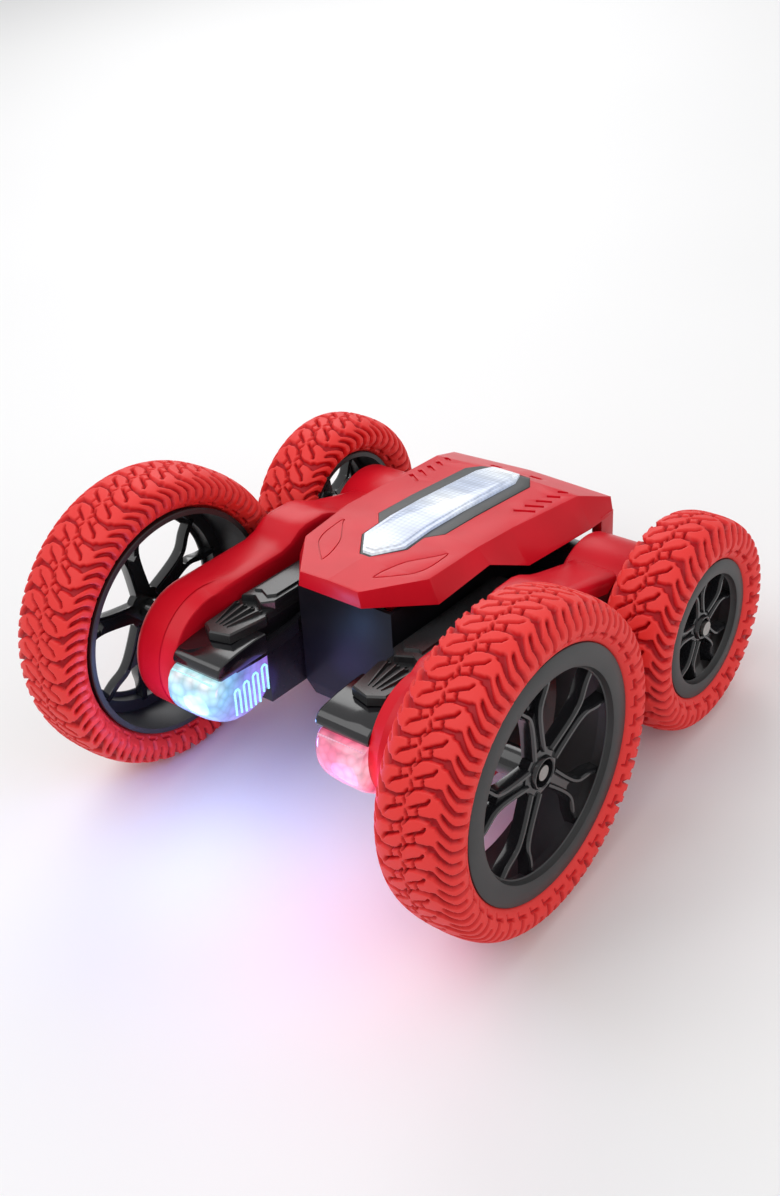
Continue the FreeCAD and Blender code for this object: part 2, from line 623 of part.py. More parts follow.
def bumper():
    """Rounded black bar across the arm's nose, above the headlight."""
    side = [
        ("bumper_front + 1.6", "bumper_low"), ("bumper_front", "bumper_nose"),
        ("bumper_front + 1", "bumper_nose + 2.2"), ("bumper_front + 4", "bumper_top"),
        ("bumper_back - 5", "bumper_rise"), ("bumper_back", "bumper_rise"), ("bumper_back", "bumper_low"),
    ]
    return prism(side, "YZ", "bumper_inner", "bumper_outer - bumper_inner")


def lens_form(inset, top):
    wall = "(%s)" % inset
    side = [
        ("lens_front + " + wall, top), ("lens_front + 1.2 + " + wall, "lens_top - 9"),
        ("lens_front + 6 + " + wall, "lens_top - 16.5"),
        ("lens_front + 12 + " + wall, "lens_low + 1.6 + " + wall),
        ("lens_front + 22", "lens_low + " + wall), ("lens_back - 4 - " + wall, "lens_low + 2.4 + " + wall),
        ("lens_back - " + wall, top),
    ]
    return prism(side, "YZ", "lens_inner + " + wall, "lens_outer - lens_inner - 2 * " + wall)


def headlight_lens():
    """Clear bowl under the bumper, open at the top and notched round the inner bearing seat."""
    bowl = cut(lens_form("0", "lens_top"), lens_form("lens_wall", "lens_top + 1"))
    room = block("lens_inner + lens_wall", "cover_front - 0.1", "cover_low - 0.1",
                 "lens_outer", "12", "30")
    notch = block("cover_inner - 1", "cover_front - 0.1", "cover_low - 0.1", "30", "12", "30")
    return cut(bowl, room, notch)


def headlight_board():
    """Small upright board with two lamp diodes that face forwards."""
    board = block("lens_inner + 3", "cover_front - 0.6 - board_thick", "lens_top - 15",
                  "lens_outer - lens_inner - 6", "board_thick", "13")
    diodes = [rod("led_radius", "cover_front - 0.6 - board_thick - led_length", "led_length",
                  "lens_inner + " + offset, "lens_top - 8", axis="y") for offset in ("6.5", "14")]
    return group(board, *diodes)


def drive_motor():
    """Small can motor: round can with two flats, front boss and shaft."""
    y, z = map(spelled, Train.motor)
    can = common(rod("motor_wide / 2", "motor_start", "motor_length", y, z),
                 block("motor_start", y + " - motor_wide / 2", z + " - motor_tall / 2",
                       "motor_length", "motor_wide", "motor_tall"))
    boss = rod("motor_boss", "motor_start + motor_length", "0.8", y, z)
    shaft = rod("motor_shaft - 0.03", "motor_start + motor_length", "fine_start + fine_thick - motor_start"
                " - motor_length", y, z)
    return fuse(can, boss, shaft)


# ---------------------------------------------------------------- chassis

def tray():
    """Black chassis tub with a sloped front, door opening, switch slot, pivot bores and hood posts."""
    side = [
        ("tray_front + tray_slope", "tray_low"), ("tray_back - tray_slope", "tray_low"),
        ("tray_back", "tray_low + 2 * tray_slope"), ("tray_back", "tray_top - 2"),
        ("tray_front", "tray_top"), ("tray_front", "tray_low + 2 * tray_slope"),
    ]
    room = [
        ("tray_front + tray_slope + tray_wall", "tray_low + tray_wall"),
        ("tray_back - tray_slope - tray_wall", "tray_low + tray_wall"),
        ("tray_back - tray_wall", "tray_low + 2 * tray_slope + tray_wall"),
        ("tray_back - tray_wall", "tray_top + 1"), ("tray_front + tray_wall", "tray_top + 1"),
        ("tray_front + tray_wall", "tray_low + 2 * tray_slope + tray_wall"),
    ]
    outer = prism(side, "YZ", "-1 * tray_half", "2 * tray_half")
    inner = prism(room, "YZ", "tray_wall - tray_half", "2 * (tray_half - tray_wall)")
    skin = cut(outer, inner)
    spots = [(x, y) for x in ("post_x", "-1 * post_x") for y in ("post_front", "post_back")]
    posts = [rod("post_outer", "tray_low", "post_top - tray_low", *spot, axis="z") for spot in spots]
    rings = [rod("pivot_radius + ring_wall", start, "ring_deep", "axle_distance")
             for start in ("-1 * tray_half", "tray_half - ring_deep")]
    seat_bores = [rod("post_counterbore", "tray_low", "post_seat - tray_low", *spot, axis="z")
                  for spot in spots]
    screw_bores = [rod("screw_core", "post_seat", "post_top - post_seat", *spot, axis="z") for spot in spots]
    pivot_bore = rod("pivot_radius", "-1 * tray_half", "2 * tray_half", "axle_distance")
    opening = block("-1 * door_half", "door_front", "tray_low", "2 * door_half", "door_back - door_front",
                    "tray_wall")
    slot = block("-1 * knob_half - switch_travel - 0.4", "switch_place - knob_deep - 0.3", "tray_low",
                 "2 * knob_half + switch_travel + 0.8", "2 * knob_deep + 0.6", "tray_wall")
    return cut(fuse(skin, *(posts + rings)), pivot_bore, opening, slot, *(seat_bores + screw_bores))


def battery_door():
    """Flat door in the tub's floor, with an inner ledge for its screw."""
    plate = block("door_gap - door_half", "door_front + door_gap", "tray_low",
                  "2 * (door_half - door_gap)", "door_back - door_front - 2 * door_gap", "tray_wall")
    hole = rod("screw_core", "tray_low", "tray_wall", "0", "door_screw", axis="z")
    return cut(plate, hole)


def battery_pack():
    """Two round cells side by side in a shrink sleeve, with an end cap board."""
    cells = [rod("cell_radius", "cell_start", "cell_length", "cell_half_pitch * %d" % sign,
                 "tray_low + tray_wall + cell_radius + 0.6", axis="y") for sign in (-1, 1)]
    cap = block("-1 * (cell_half_pitch + cell_radius - 2)", "cell_start + cell_length",
                "tray_low + tray_wall + 1.6", "2 * (cell_half_pitch + cell_radius - 2)", "1.2",
                "2 * cell_radius - 2")
    return group(cells[0], cells[1], cap)


def control_board():
    """Board with the receiver chip, driver chips, a crystal can, a capacitor and the motor plugs."""
    board = block("-1 * board_half", "board_front", "board_low", "2 * board_half",
                  "board_back - board_front", "board_thick")
    top = "board_low + board_thick"
    chip = block("-0.5 * chip_wide", "chip_place", top, "chip_wide", "chip_wide", "chip_tall")
    drivers = [block(x, "driver_place", top, "driver_wide", "driver_wide", "chip_tall")
               for x in ("-2.4 * driver_wide", "1.4 * driver_wide")]
    crystal = block("-1 * capacitor_x", "crystal_place", top,
                    "crystal_wide", "2 * crystal_wide", "crystal_tall")
    capacitor = rod("capacitor_radius", top, "capacitor_tall", "capacitor_x", "crystal_place + crystal_wide",
                    axis="z")
    plugs = [block("plug_pitch * %d - plug_wide / 2" % row, "plug_place", top,
                   "plug_wide", "plug_wide", "plug_tall")
             for row in (-1, 0, 1)]
    return fuse(board, chip, crystal, capacitor, *(drivers + plugs))


def switch_housing():
    """Body of the slide switch, standing on the tub's floor."""
    body = block("-1 * switch_half - switch_travel / 2", "switch_place - switch_deep", "tray_low + tray_wall",
                 "2 * switch_half", "2 * switch_deep", "switch_tall")
    room = block("-1 * knob_half - switch_travel - 0.3", "switch_place - knob_deep - 0.2",
                 "tray_low + tray_wall", "2 * knob_half + switch_travel + 0.6", "2 * knob_deep + 0.4",
                 "switch_tall - 1")
    return cut(body, room)


def switch_knob():
    """Slider of the switch: a thumb stud under the floor and a foot inside the housing."""
    stud = block("-1 * knob_half", "switch_place - knob_deep", "tray_low - knob_out",
                 "2 * knob_half", "2 * knob_deep", "knob_out + tray_wall + switch_tall - 1.4")
    return group(stud)


def pivot_tube():
    """Cross tube that the two arms swing on."""
    return cut(rod("pivot_radius", "-1 * pivot_half", "2 * pivot_half", "axle_distance"),
               rod("pivot_radius - pivot_wall", "-1 * pivot_half", "2 * pivot_half", "axle_distance"))


def chassis_screws():
    """Four hood screws deep in their posts, and the battery door's screw."""
    screws = []
    for x in ("post_x", "-1 * post_x"):
        for y in ("post_front", "post_back"):
            head = rod("screw_head", "post_seat - screw_head_tall", "screw_head_tall", x, y, axis="z")
            shank = rod("screw_core", "post_seat", "hood_screw", x, y, axis="z")
            screws.append(fuse(head, shank))
    head = rod("screw_head", "tray_low - screw_head_tall / 2", "screw_head_tall / 2", "0", "door_screw",
               axis="z")
    shank = rod("screw_core", "tray_low", "5", "0", "door_screw", axis="z")
    screws.append(fuse(head, shank))
    return group(*screws)


# ---------------------------------------------------------------- hood and roof lamp

STATIONS = ("nose", "brow", "waist", "flank", "rump", "stern")


def hood_section(body, station, inset):
    """Cross-section of the hood at one station: edge, crease and ridge, shrunk by the inset."""
    edge = "%s_edge - %s" % (station, inset)
    crease = "%s_crease - %s * 0.7" % (station, inset)
    low = "%s_low" % station if inset == "0" else "%s_low - 4" % station
    top = "%s_top - %s" % (station, inset)
    ridge = "%s_ridge - %s" % (station, inset)
    points = [
        (edge, low), (crease, top), ("0", ridge),
        ("-1 * (%s)" % crease, top), ("-1 * (%s)" % edge, low),
    ]
    sketch = body_sketch(body, "XZ_Plane", points, "%s_section" % station)
    shift = {"nose": "1.5 * %s" % inset, "stern": "-1 * %s" % inset}.get(station, "0")
    bind(sketch, "AttachmentOffset.Base.z", "-1 * (%s_y + %s)" % (station, shift))
    return sketch


def hood_form(name, inset):
    """Loft through the six stations, with flat facets between them."""
    body = doc.addObject("PartDesign::Body", name)
    sections = [hood_section(body, station, inset) for station in STATIONS]
    loft = body.newObject("PartDesign::AdditiveLoft", name + "_loft")
    loft.Profile = sections[0]
    loft.Sections = sections[1:]
    loft.Ruled = True
    return body


def lamp_plan(side, neck, tip, shoulder, tail, tail_x, grow):
    """Plan outline shared by the roof opening and the bezel: pointed nose, straight sides, cut tail."""
    right = [
        (neck + grow, "lamp_neck"), (neck + grow, "lamp_shoulder_y"), (side + grow, shoulder),
        (side + grow, "bezel_end"), (tail_x + grow, tail + grow),
    ]
    left = [("-1 * (%s)" % x, y) for x, y in reversed(right)]
    return [("2" + grow, tip), *right, *left, ("-2" + grow.replace("+", "-"), tip)]


BEZEL = ("bezel_x", "bezel_neck_x", "bezel_tip", "bezel_start", "bezel_tail", "lamp_neck_x")


def roof_band(low, high):
    """Band that follows the hood's ridge line between two heights above it, wide enough for the lamp."""
    ridge = [("nose_y", "nose_ridge"), ("brow_y", "brow_ridge"), ("waist_y", "waist_ridge"),
             ("flank_y", "flank_ridge"), ("rump_y", "rump_ridge"), ("stern_y", "stern_ridge")]
    upper = [(y, "%s + %s" % (z, high)) for y, z in ridge]
    lower = [(y, "%s + %s" % (z, low)) for y, z in reversed(ridge)]
    return prism(upper + lower, "YZ", "-20", "40")


def lamp_outline(inset):
    """Plan outline of the lens, shrunk by the inset."""
    wall = " - (%s)" % inset
    right = [
        ("lamp_neck_x" + wall, "lamp_neck"), ("lamp_neck_x" + wall, "lamp_side_y"),
        ("lamp_end_x" + wall, "lamp_end" + wall),
    ]
    left = [("-1 * (%s)" % x, y) for x, y in reversed(right)]
    tip = "lamp_tip + (%s)" % inset
    return [("2", tip), *right, *left, ("-2", tip)]


def hood():
    """Faceted red hood: a thin shell with an opening for the roof lamp, rear corner posts and bosses."""
    shell = cut(hood_form("hood_outside", "0"), hood_form("hood_inside", "hood_wall"))
    corners = [block(x, "post_start_y", "post_drop", "post_width", "stern_y - post_start_y",
                     "stern_low + 1.5 - post_drop") for x in ("stern_edge - post_width",
                                                              "-1 * stern_edge")]
    bosses = []
    bores = []
    for x in ("post_x", "-1 * post_x"):
        for y, top in (("post_front", "front_boss_top"), ("post_back", "back_boss_top")):
            bosses.append(rod("hood_boss", "post_top + plate_gap", "%s - post_top - plate_gap" % top, x, y,
                              axis="z"))
            bores.append(rod("screw_core", "post_top", "hood_bore", x, y, axis="z"))
    opening = prism(lamp_plan(*BEZEL, " + lamp_gap"), "XY", "20", "30")
    return cut(fuse(shell, *(corners + bosses)), opening, *bores)


def lamp_bezel():
    """Dark frame in the roof opening; the lens sits in its recess over a window."""
    frame = common(roof_band("-1 * bezel_thick", "0 - 0.3"), prism(lamp_plan(*BEZEL, " + 0"), "XY", "20", "30"))
    recess = common(roof_band("-1 * bezel_low", "3"), prism(lamp_outline("-1 * lamp_gap"), "XY", "20", "30"))
    window = prism(lamp_outline("window_inset"), "XY", "20", "30")
    return cut(frame, recess, window)


def lamp_lens():
    """Long clear lens with bevelled edges, standing proud of the hood's ridge."""
    body = common(roof_band("-1 * bezel_low", "lamp_proud / 2"), prism(lamp_outline("0"), "XY", "20", "30"))
    crown = common(roof_band("0", "lamp_proud"), prism(lamp_outline("1.6"), "XY", "20", "30"))
    return fuse(body, crown)


def lamp_board():
    """Strip board under the lens with a row of lamp diodes."""
    strip = block("-1 * lamp_board_half", "lamp_board_front", "lamp_board_low", "2 * lamp_board_half",
                  "lamp_board_back - lamp_board_front", "board_thick / 2")
    diodes = [block("-1 * lamp_led", "lamp_board_front + 8 + 20 * %d" % row, "lamp_board_low + board_thick / 2",
                    "2 * lamp_led", "2 * lamp_led", "1") for row in range(3)]
    return group(strip, *diodes)


# ---------------------------------------------------------------- assembly

def make_wheels():
    for end, place in (("front", FRONT_AXLE), ("rear", REAR_AXLE)):
        stand = FreeCAD.Placement(place, FreeCAD.Rotation())
        both_sides(lambda: tyre(end), end + "_tyre", stand)
        both_sides(lambda: rim(end), end + "_rim", stand)
        both_sides(axle, end + "_axle", stand)
        both_sides(hub_screw, end + "_hub_screw", stand)


def make_arms():
    for make in (arm_shell, arm_cover, axle_bushes, arm_screws, step_plate, bumper, headlight_lens,
                 headlight_board, drive_motor):
        both_sides(make, make.__name__, AXLE_FRAME)


def make_chassis():
    for make in (hood, lamp_bezel, lamp_lens, lamp_board, tray, battery_door, battery_pack, control_board,
                 switch_housing, switch_knob, pivot_tube, chassis_screws):
        keep(make(), make.__name__, AXLE_FRAME)


def write_parts():
    doc.recompute()
    for obj in doc.Objects:
        if "Invalid" in obj.State or "Error" in obj.State:
            raise RuntimeError("%s is %s" % (obj.Label, obj.State))
    os.makedirs("parts", exist_ok=True)
    for obj in nodes:
        shape = obj.Shape
        if shape.isNull() or not shape.isValid() or not shape.Solids:
            raise RuntimeError("%s has no valid solid" % obj.Label)
        shape.exportStep("parts/%s.step" % obj.Label)
        print("%-24s %9.1f mm3 in %d solids" % (obj.Label, shape.Volume, len(shape.Solids)))
    print("%d sub-parts" % len(nodes))


make_wheels()
make_gears()
make_arms()
make_chassis()
write_parts()
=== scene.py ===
import json
import math

import bmesh
import bpy
import numpy as np
from mathutils import Matrix, Vector
from mathutils.bvhtree import BVHTree


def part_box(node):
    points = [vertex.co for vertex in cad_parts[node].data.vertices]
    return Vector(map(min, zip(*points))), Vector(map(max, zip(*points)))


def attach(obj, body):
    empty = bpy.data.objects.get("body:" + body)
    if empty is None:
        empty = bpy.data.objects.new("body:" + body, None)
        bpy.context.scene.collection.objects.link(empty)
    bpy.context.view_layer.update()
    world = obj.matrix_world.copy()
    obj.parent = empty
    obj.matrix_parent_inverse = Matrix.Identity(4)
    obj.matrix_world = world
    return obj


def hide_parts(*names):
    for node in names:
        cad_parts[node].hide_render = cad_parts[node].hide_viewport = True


# Looks of the remote-control stunt car.  Lengths are written in millimetres and turned into metres by MM.
# "Axle frame": x is the car's own X, s runs from the front axle to the rear axle, n stands square to both.
# The left side is +X.  Its pieces are mirrored, by the sign in SIDES, to make those of the right side.

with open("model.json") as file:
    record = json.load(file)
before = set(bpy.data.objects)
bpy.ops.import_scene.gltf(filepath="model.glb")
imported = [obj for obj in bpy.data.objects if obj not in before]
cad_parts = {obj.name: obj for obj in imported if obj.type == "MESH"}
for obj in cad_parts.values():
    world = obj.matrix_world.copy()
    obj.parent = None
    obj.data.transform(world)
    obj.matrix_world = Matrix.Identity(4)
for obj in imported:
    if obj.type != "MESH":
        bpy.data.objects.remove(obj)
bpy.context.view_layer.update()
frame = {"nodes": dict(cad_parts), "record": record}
MM = 0.001
RECORD = frame["record"]
SIDES = (("left", 1), ("right", -1))

joint_place = {joint["name"]: joint.get("pos_m") for joint in RECORD["behaviour"]["joints"]}
FRONT_AXLE = Vector(joint_place["left_front_wheel_spin"])
REAR_AXLE = Vector(joint_place["left_rear_wheel_spin"])
ALONG = (REAR_AXLE - FRONT_AXLE).normalized()
ABOVE = Vector((1, 0, 0)).cross(ALONG)


def at(x, s, n):
    """Point of the axle frame, given in millimetres, in the car's frame, in metres."""
    return FRONT_AXLE + (Vector((1, 0, 0)) * x + ALONG * s + ABOVE * n) * MM


# ---------------------------------------------------------------- materials

WHITE = (1.0, 1.0, 1.0)
COLOUR_DRIFT = 60.0         # cells per metre of the slow change of colour in a moulding
GRAIN_HEIGHT = 0.08 * MM


def material(name):
    """New node material; gives the material, its tree and its Principled shader."""
    made = bpy.data.materials.new(name)
    made.use_nodes = True
    tree = made.node_tree
    shader = tree.nodes["Principled BSDF"]
    return made, tree, shader


def node(tree, kind, **settings):
    """New node with its own settings, such as the operation of a maths node."""
    made = tree.nodes.new(kind)
    for key, setting in settings.items():
        setattr(made, key, setting)
    return made


def noise(tree, scale, detail=2.0):
    """Noise fixed to the piece; scale is in cells per metre."""
    place = tree.nodes.new("ShaderNodeTexCoord")
    made = node(tree, "ShaderNodeTexNoise")
    made.inputs["Scale"].default_value = scale
    made.inputs["Detail"].default_value = detail
    tree.links.new(place.outputs["Object"], made.inputs["Vector"])
    return made


def ramp(tree, source, stops):
    """Colour ramp fed by a socket; stops are (position, colour)."""
    made = tree.nodes.new("ShaderNodeValToRGB")
    elements = made.color_ramp.elements
    while len(elements) < len(stops):
        elements.new(0.5)
    for element, (position, colour) in zip(elements, stops):
        element.position = position
        element.color = (*colour, 1)
    tree.links.new(source, made.inputs["Fac"])
    return made


def tint(tree, source, dark, light):
    """Colour that wanders between two shades, for the Base Color."""
    return ramp(tree, source, ((0.3, dark), (0.7, light))).outputs["Color"]


def spread(tree, source, low, high):
    """A value from 0 to 1, spread from low to high."""
    made = tree.nodes.new("ShaderNodeMapRange")
    made.inputs["To Min"].default_value = low
    made.inputs["To Max"].default_value = high
    tree.links.new(source, made.inputs["Value"])
    return made.outputs["Result"]


def bump(tree, shader, source, strength, distance):
    """Fine relief on the shader; distance is its height in metres."""
    made = tree.nodes.new("ShaderNodeBump")
    made.inputs["Strength"].default_value = strength
    made.inputs["Distance"].default_value = distance
    tree.links.new(source, made.inputs["Height"])
    tree.links.new(made.outputs["Normal"], shader.inputs["Normal"])


def plastic(name, dark, light, rough, grain, relief, coat=0.0, specular=0.5):
    """Moulded plastic: colour drift, gloss between the two values of rough, and a fine grain."""
    made, tree, shader = material(name)
    drift = noise(tree, COLOUR_DRIFT)
    fine = noise(tree, grain, 3.0)
    tree.links.new(tint(tree, drift.outputs["Fac"], dark, light), shader.inputs["Base Color"])
    tree.links.new(spread(tree, fine.outputs["Fac"], *rough), shader.inputs["Roughness"])
    bump(tree, shader, fine.outputs["Fac"], relief, GRAIN_HEIGHT)
    shader.inputs["Coat Weight"].default_value = coat
    shader.inputs["Coat Roughness"].default_value = 0.12
    shader.inputs["Specular IOR Level"].default_value = specular
    return made


def tyre_plastic(name):
    """Soft red plastic with painted shade in the grooves, darker and deeper red the lower the tread; the mesh
    carries the height of its tread.
    """
    made, tree, shader = material(name)
    height = node(tree, "ShaderNodeAttribute", attribute_name="tread")
    fine = noise(tree, 2600.0, 3.0)
    # painted shade: the colour darkens towards the bottom of the grooves, where shade falls in the tread
    groove, wall, block = (0.42, 0.001, 0.008), (0.70, 0.018, 0.020), (0.79, 0.034, 0.030)
    colour = ramp(tree, height.outputs["Fac"], ((0.0, groove), (0.55, wall), (1.0, block)))
    tree.links.new(colour.outputs["Color"], shader.inputs["Base Color"])
    tree.links.new(spread(tree, fine.outputs["Fac"], 0.42, 0.6), shader.inputs["Roughness"])
    bump(tree, shader, fine.outputs["Fac"], 0.22, 0.1 * MM)
    shader.inputs["Specular IOR Level"].default_value = 0.32
    return made


def metal(name, dark, light, rough):
    """Plated or turned metal with fine tool marks."""
    made, tree, shader = material(name)
    marks = noise(tree, 1800.0, 4.0)
    tree.links.new(tint(tree, marks.outputs["Fac"], dark, light), shader.inputs["Base Color"])
    tree.links.new(spread(tree, marks.outputs["Fac"], rough, rough + 0.18), shader.inputs["Roughness"])
    shader.inputs["Metallic"].default_value = 1.0
    return made


def lit_lens(name, centres, reach, stops, strength, grid, scatter=0.0):
    """Clear prismatic plastic that glows from lamps inside.

    The stops colour it from a lamp's centre out to reach; grid is in prisms per metre, and scatter 1 makes
    the prisms uneven.
    """
    made, tree, shader = material(name)
    place = tree.nodes.new("ShaderNodeTexCoord")
    nearest = None
    for centre in centres:
        away = node(tree, "ShaderNodeVectorMath", operation="DISTANCE")
        away.inputs[1].default_value = centre
        tree.links.new(place.outputs["Object"], away.inputs[0])
        if nearest is None:
            nearest = away.outputs["Value"]
            continue
        closer = node(tree, "ShaderNodeMath", operation="MINIMUM")
        tree.links.new(nearest, closer.inputs[0])
        tree.links.new(away.outputs["Value"], closer.inputs[1])
        nearest = closer.outputs["Value"]
    share = tree.nodes.new("ShaderNodeMapRange")
    share.inputs["From Max"].default_value = reach
    tree.links.new(nearest, share.inputs["Value"])
    glow = ramp(tree, share.outputs["Result"], stops)
    prisms = node(tree, "ShaderNodeTexVoronoi")
    prisms.inputs["Scale"].default_value = grid
    prisms.inputs["Randomness"].default_value = scatter
    tree.links.new(place.outputs["Object"], prisms.inputs["Vector"])
    level = spread(tree, prisms.outputs["Distance"], strength * 1.15, strength * 0.55)
    tree.links.new(glow.outputs["Color"], shader.inputs["Emission Color"])
    tree.links.new(level, shader.inputs["Emission Strength"])
    dim = ramp(tree, prisms.outputs["Distance"], ((0.0, (0.20, 0.22, 0.26)), (1.0, (0.10, 0.11, 0.14))))
    tree.links.new(dim.outputs["Color"], shader.inputs["Base Color"])
    bump(tree, shader, prisms.outputs["Distance"], 0.5, 0.2 * MM)
    shader.inputs["Roughness"].default_value = 0.12
    shader.inputs["Coat Weight"].default_value = 0.6
    return made


def board_green(name):
    """Circuit board: lighter traces under green mask."""
    made, tree, shader = material(name)
    place = tree.nodes.new("ShaderNodeTexCoord")
    traces = node(tree, "ShaderNodeTexBrick")
    traces.inputs["Scale"].default_value = 220.0
    traces.inputs["Color1"].default_value = (0.01, 0.13, 0.05, 1)
    traces.inputs["Color2"].default_value = (0.012, 0.17, 0.06, 1)
    traces.inputs["Mortar"].default_value = (0.05, 0.32, 0.12, 1)
    tree.links.new(place.outputs["Object"], traces.inputs["Vector"])
    tree.links.new(traces.outputs["Color"], shader.inputs["Base Color"])
    bump(tree, shader, traces.outputs["Fac"], 0.3, 0.1 * MM)
    shader.inputs["Roughness"].default_value = 0.35
    return made


def floor_paint(name):
    """Pale studio floor, very slightly uneven."""
    made, tree, shader = material(name)
    drift = noise(tree, 3.0)
    colour = tint(tree, drift.outputs["Fac"], (0.86, 0.86, 0.865), (0.885, 0.885, 0.89))
    tree.links.new(colour, shader.inputs["Base Color"])
    shader.inputs["Roughness"].default_value = 0.55
    return made


MATERIALS = {
    "body_red": plastic("red_gloss", (0.59, 0.004, 0.015), (0.65, 0.006, 0.019),
                        rough=(0.28, 0.38), grain=2400.0, relief=0.08, coat=0.02, specular=0.20),
    "tyre_red": tyre_plastic("tyre_red"),
    "rim_black": plastic("rim_satin", (0.020, 0.021, 0.022), (0.028, 0.029, 0.030),
                         rough=(0.34, 0.48), grain=3200.0, relief=0.18),
    "gloss_black": plastic("black_gloss", (0.006, 0.006, 0.008), (0.010, 0.010, 0.012),
                           rough=(0.08, 0.16), grain=900.0, relief=0.03, coat=0.5),
    "chassis_black": plastic("black_grain", (0.010, 0.010, 0.012), (0.016, 0.016, 0.018),
                             rough=(0.3, 0.45), grain=3000.0, relief=0.25),
    "steel": metal("steel_plated", (0.32, 0.31, 0.30), (0.44, 0.43, 0.41), 0.28),
    "brass": metal("brass_turned", (0.62, 0.42, 0.14), (0.76, 0.55, 0.22), 0.2),
    "circuit_board": board_green("board_green"),
    "gear_white": plastic("gear_nylon", (0.72, 0.70, 0.62), (0.82, 0.80, 0.74),
                          rough=(0.35, 0.5), grain=1500.0, relief=0.15),
    "cell_wrap": plastic("cell_blue", (0.02, 0.07, 0.36), (0.03, 0.10, 0.46),
                         rough=(0.2, 0.3), grain=700.0, relief=0.05),
}
INNER_BLACK = plastic("inner_black", (0.006, 0.006, 0.009), (0.010, 0.010, 0.013),
                      rough=(0.24, 0.34), grain=1500.0, relief=0.06, specular=0.3)
TUB_BLACK = plastic("tub_black", (0.007, 0.007, 0.010), (0.011, 0.011, 0.014),
                    rough=(0.30, 0.42), grain=3000.0, relief=0.15, specular=0.16)
SATIN_BLACK = plastic("black_satin", (0.012, 0.013, 0.014), (0.020, 0.021, 0.022),
                      rough=(0.24, 0.34), grain=2600.0, relief=0.12, coat=0.15)
SPOKE_GLOSS = plastic("rim_gloss", (0.008, 0.008, 0.009), (0.013, 0.013, 0.015),
                      rough=(0.10, 0.2), grain=1200.0, relief=0.04, coat=0.4)

ROOF_GLOW = ((0.0, WHITE), (0.16, (0.88, 0.94, 1.0)), (0.5, (0.52, 0.60, 0.78)), (1.0, (0.44, 0.53, 0.74)))
PINK_GLOW = ((0.0, (1.0, 0.6, 0.7)), (0.35, (0.95, 0.10, 0.22)), (1.0, (0.55, 0.02, 0.10)))
CYAN_GLOW = ((0.0, WHITE), (0.14, (0.55, 0.95, 1.0)), (0.34, (0.20, 0.62, 1.0)), (0.62, (0.20, 0.28, 0.90)),
             (1.0, (0.30, 0.14, 0.72)))
PINK_RIB_GLOW = ((0.0, (1.0, 0.6, 0.7)), (1.0, (0.9, 0.2, 0.4)))
CYAN_RIB_GLOW = ((0.0, (0.30, 0.85, 1.0)), (1.0, (0.30, 0.75, 1.0)))

MATERIALS["clear_lens"] = lit_lens(
    "roof_lens", [at(0, 30, 37), at(0, 70, 37), at(0, 104, 34)], 24 * MM, ROOF_GLOW, 0.78, 560.0)
# by side: the left headlight shines pink, and the right one white and cyan
HEADLIGHT = {
    1: lit_lens("headlight_pink", [at(40, -29, -2)], 26 * MM, PINK_GLOW, 1.0, 330.0, scatter=1.0),
    -1: lit_lens("headlight_white", [at(-38, -29, 4), at(-32, -29, 4), at(-26, -29, 4)], 26 * MM,
                 CYAN_GLOW, 0.9, 330.0, scatter=1.0),
}
RIB_GLOW = {
    1: lit_lens("rib_pink", [at(30, -15, -6)], 24 * MM, PINK_RIB_GLOW, 0.8, 900.0),
    -1: lit_lens("rib_cyan", [at(-30, -15, -6)], 24 * MM, CYAN_RIB_GLOW, 1.4, 900.0),
}

for sub in RECORD["subparts"]:
    shown = frame["nodes"][sub["node"]]
    shown.data.materials.clear()
    shown.data.materials.append(MATERIALS[sub["material_slot"]])


# ---------------------------------------------------------------- mesh helpers

def finish_piece(name, mesh, body, replaced, sharp):
    """Object of a mesh that rides on a body; sharp is the angle in degrees above which edges stay hard."""
    mesh.shade_smooth()
    if sharp is not None:
        mesh.set_sharp_from_angle(angle=math.radians(sharp))
    made = bpy.data.objects.new(name, mesh)
    bpy.context.scene.collection.objects.link(made)
    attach(made, body)
    if replaced:
        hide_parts(*replaced)


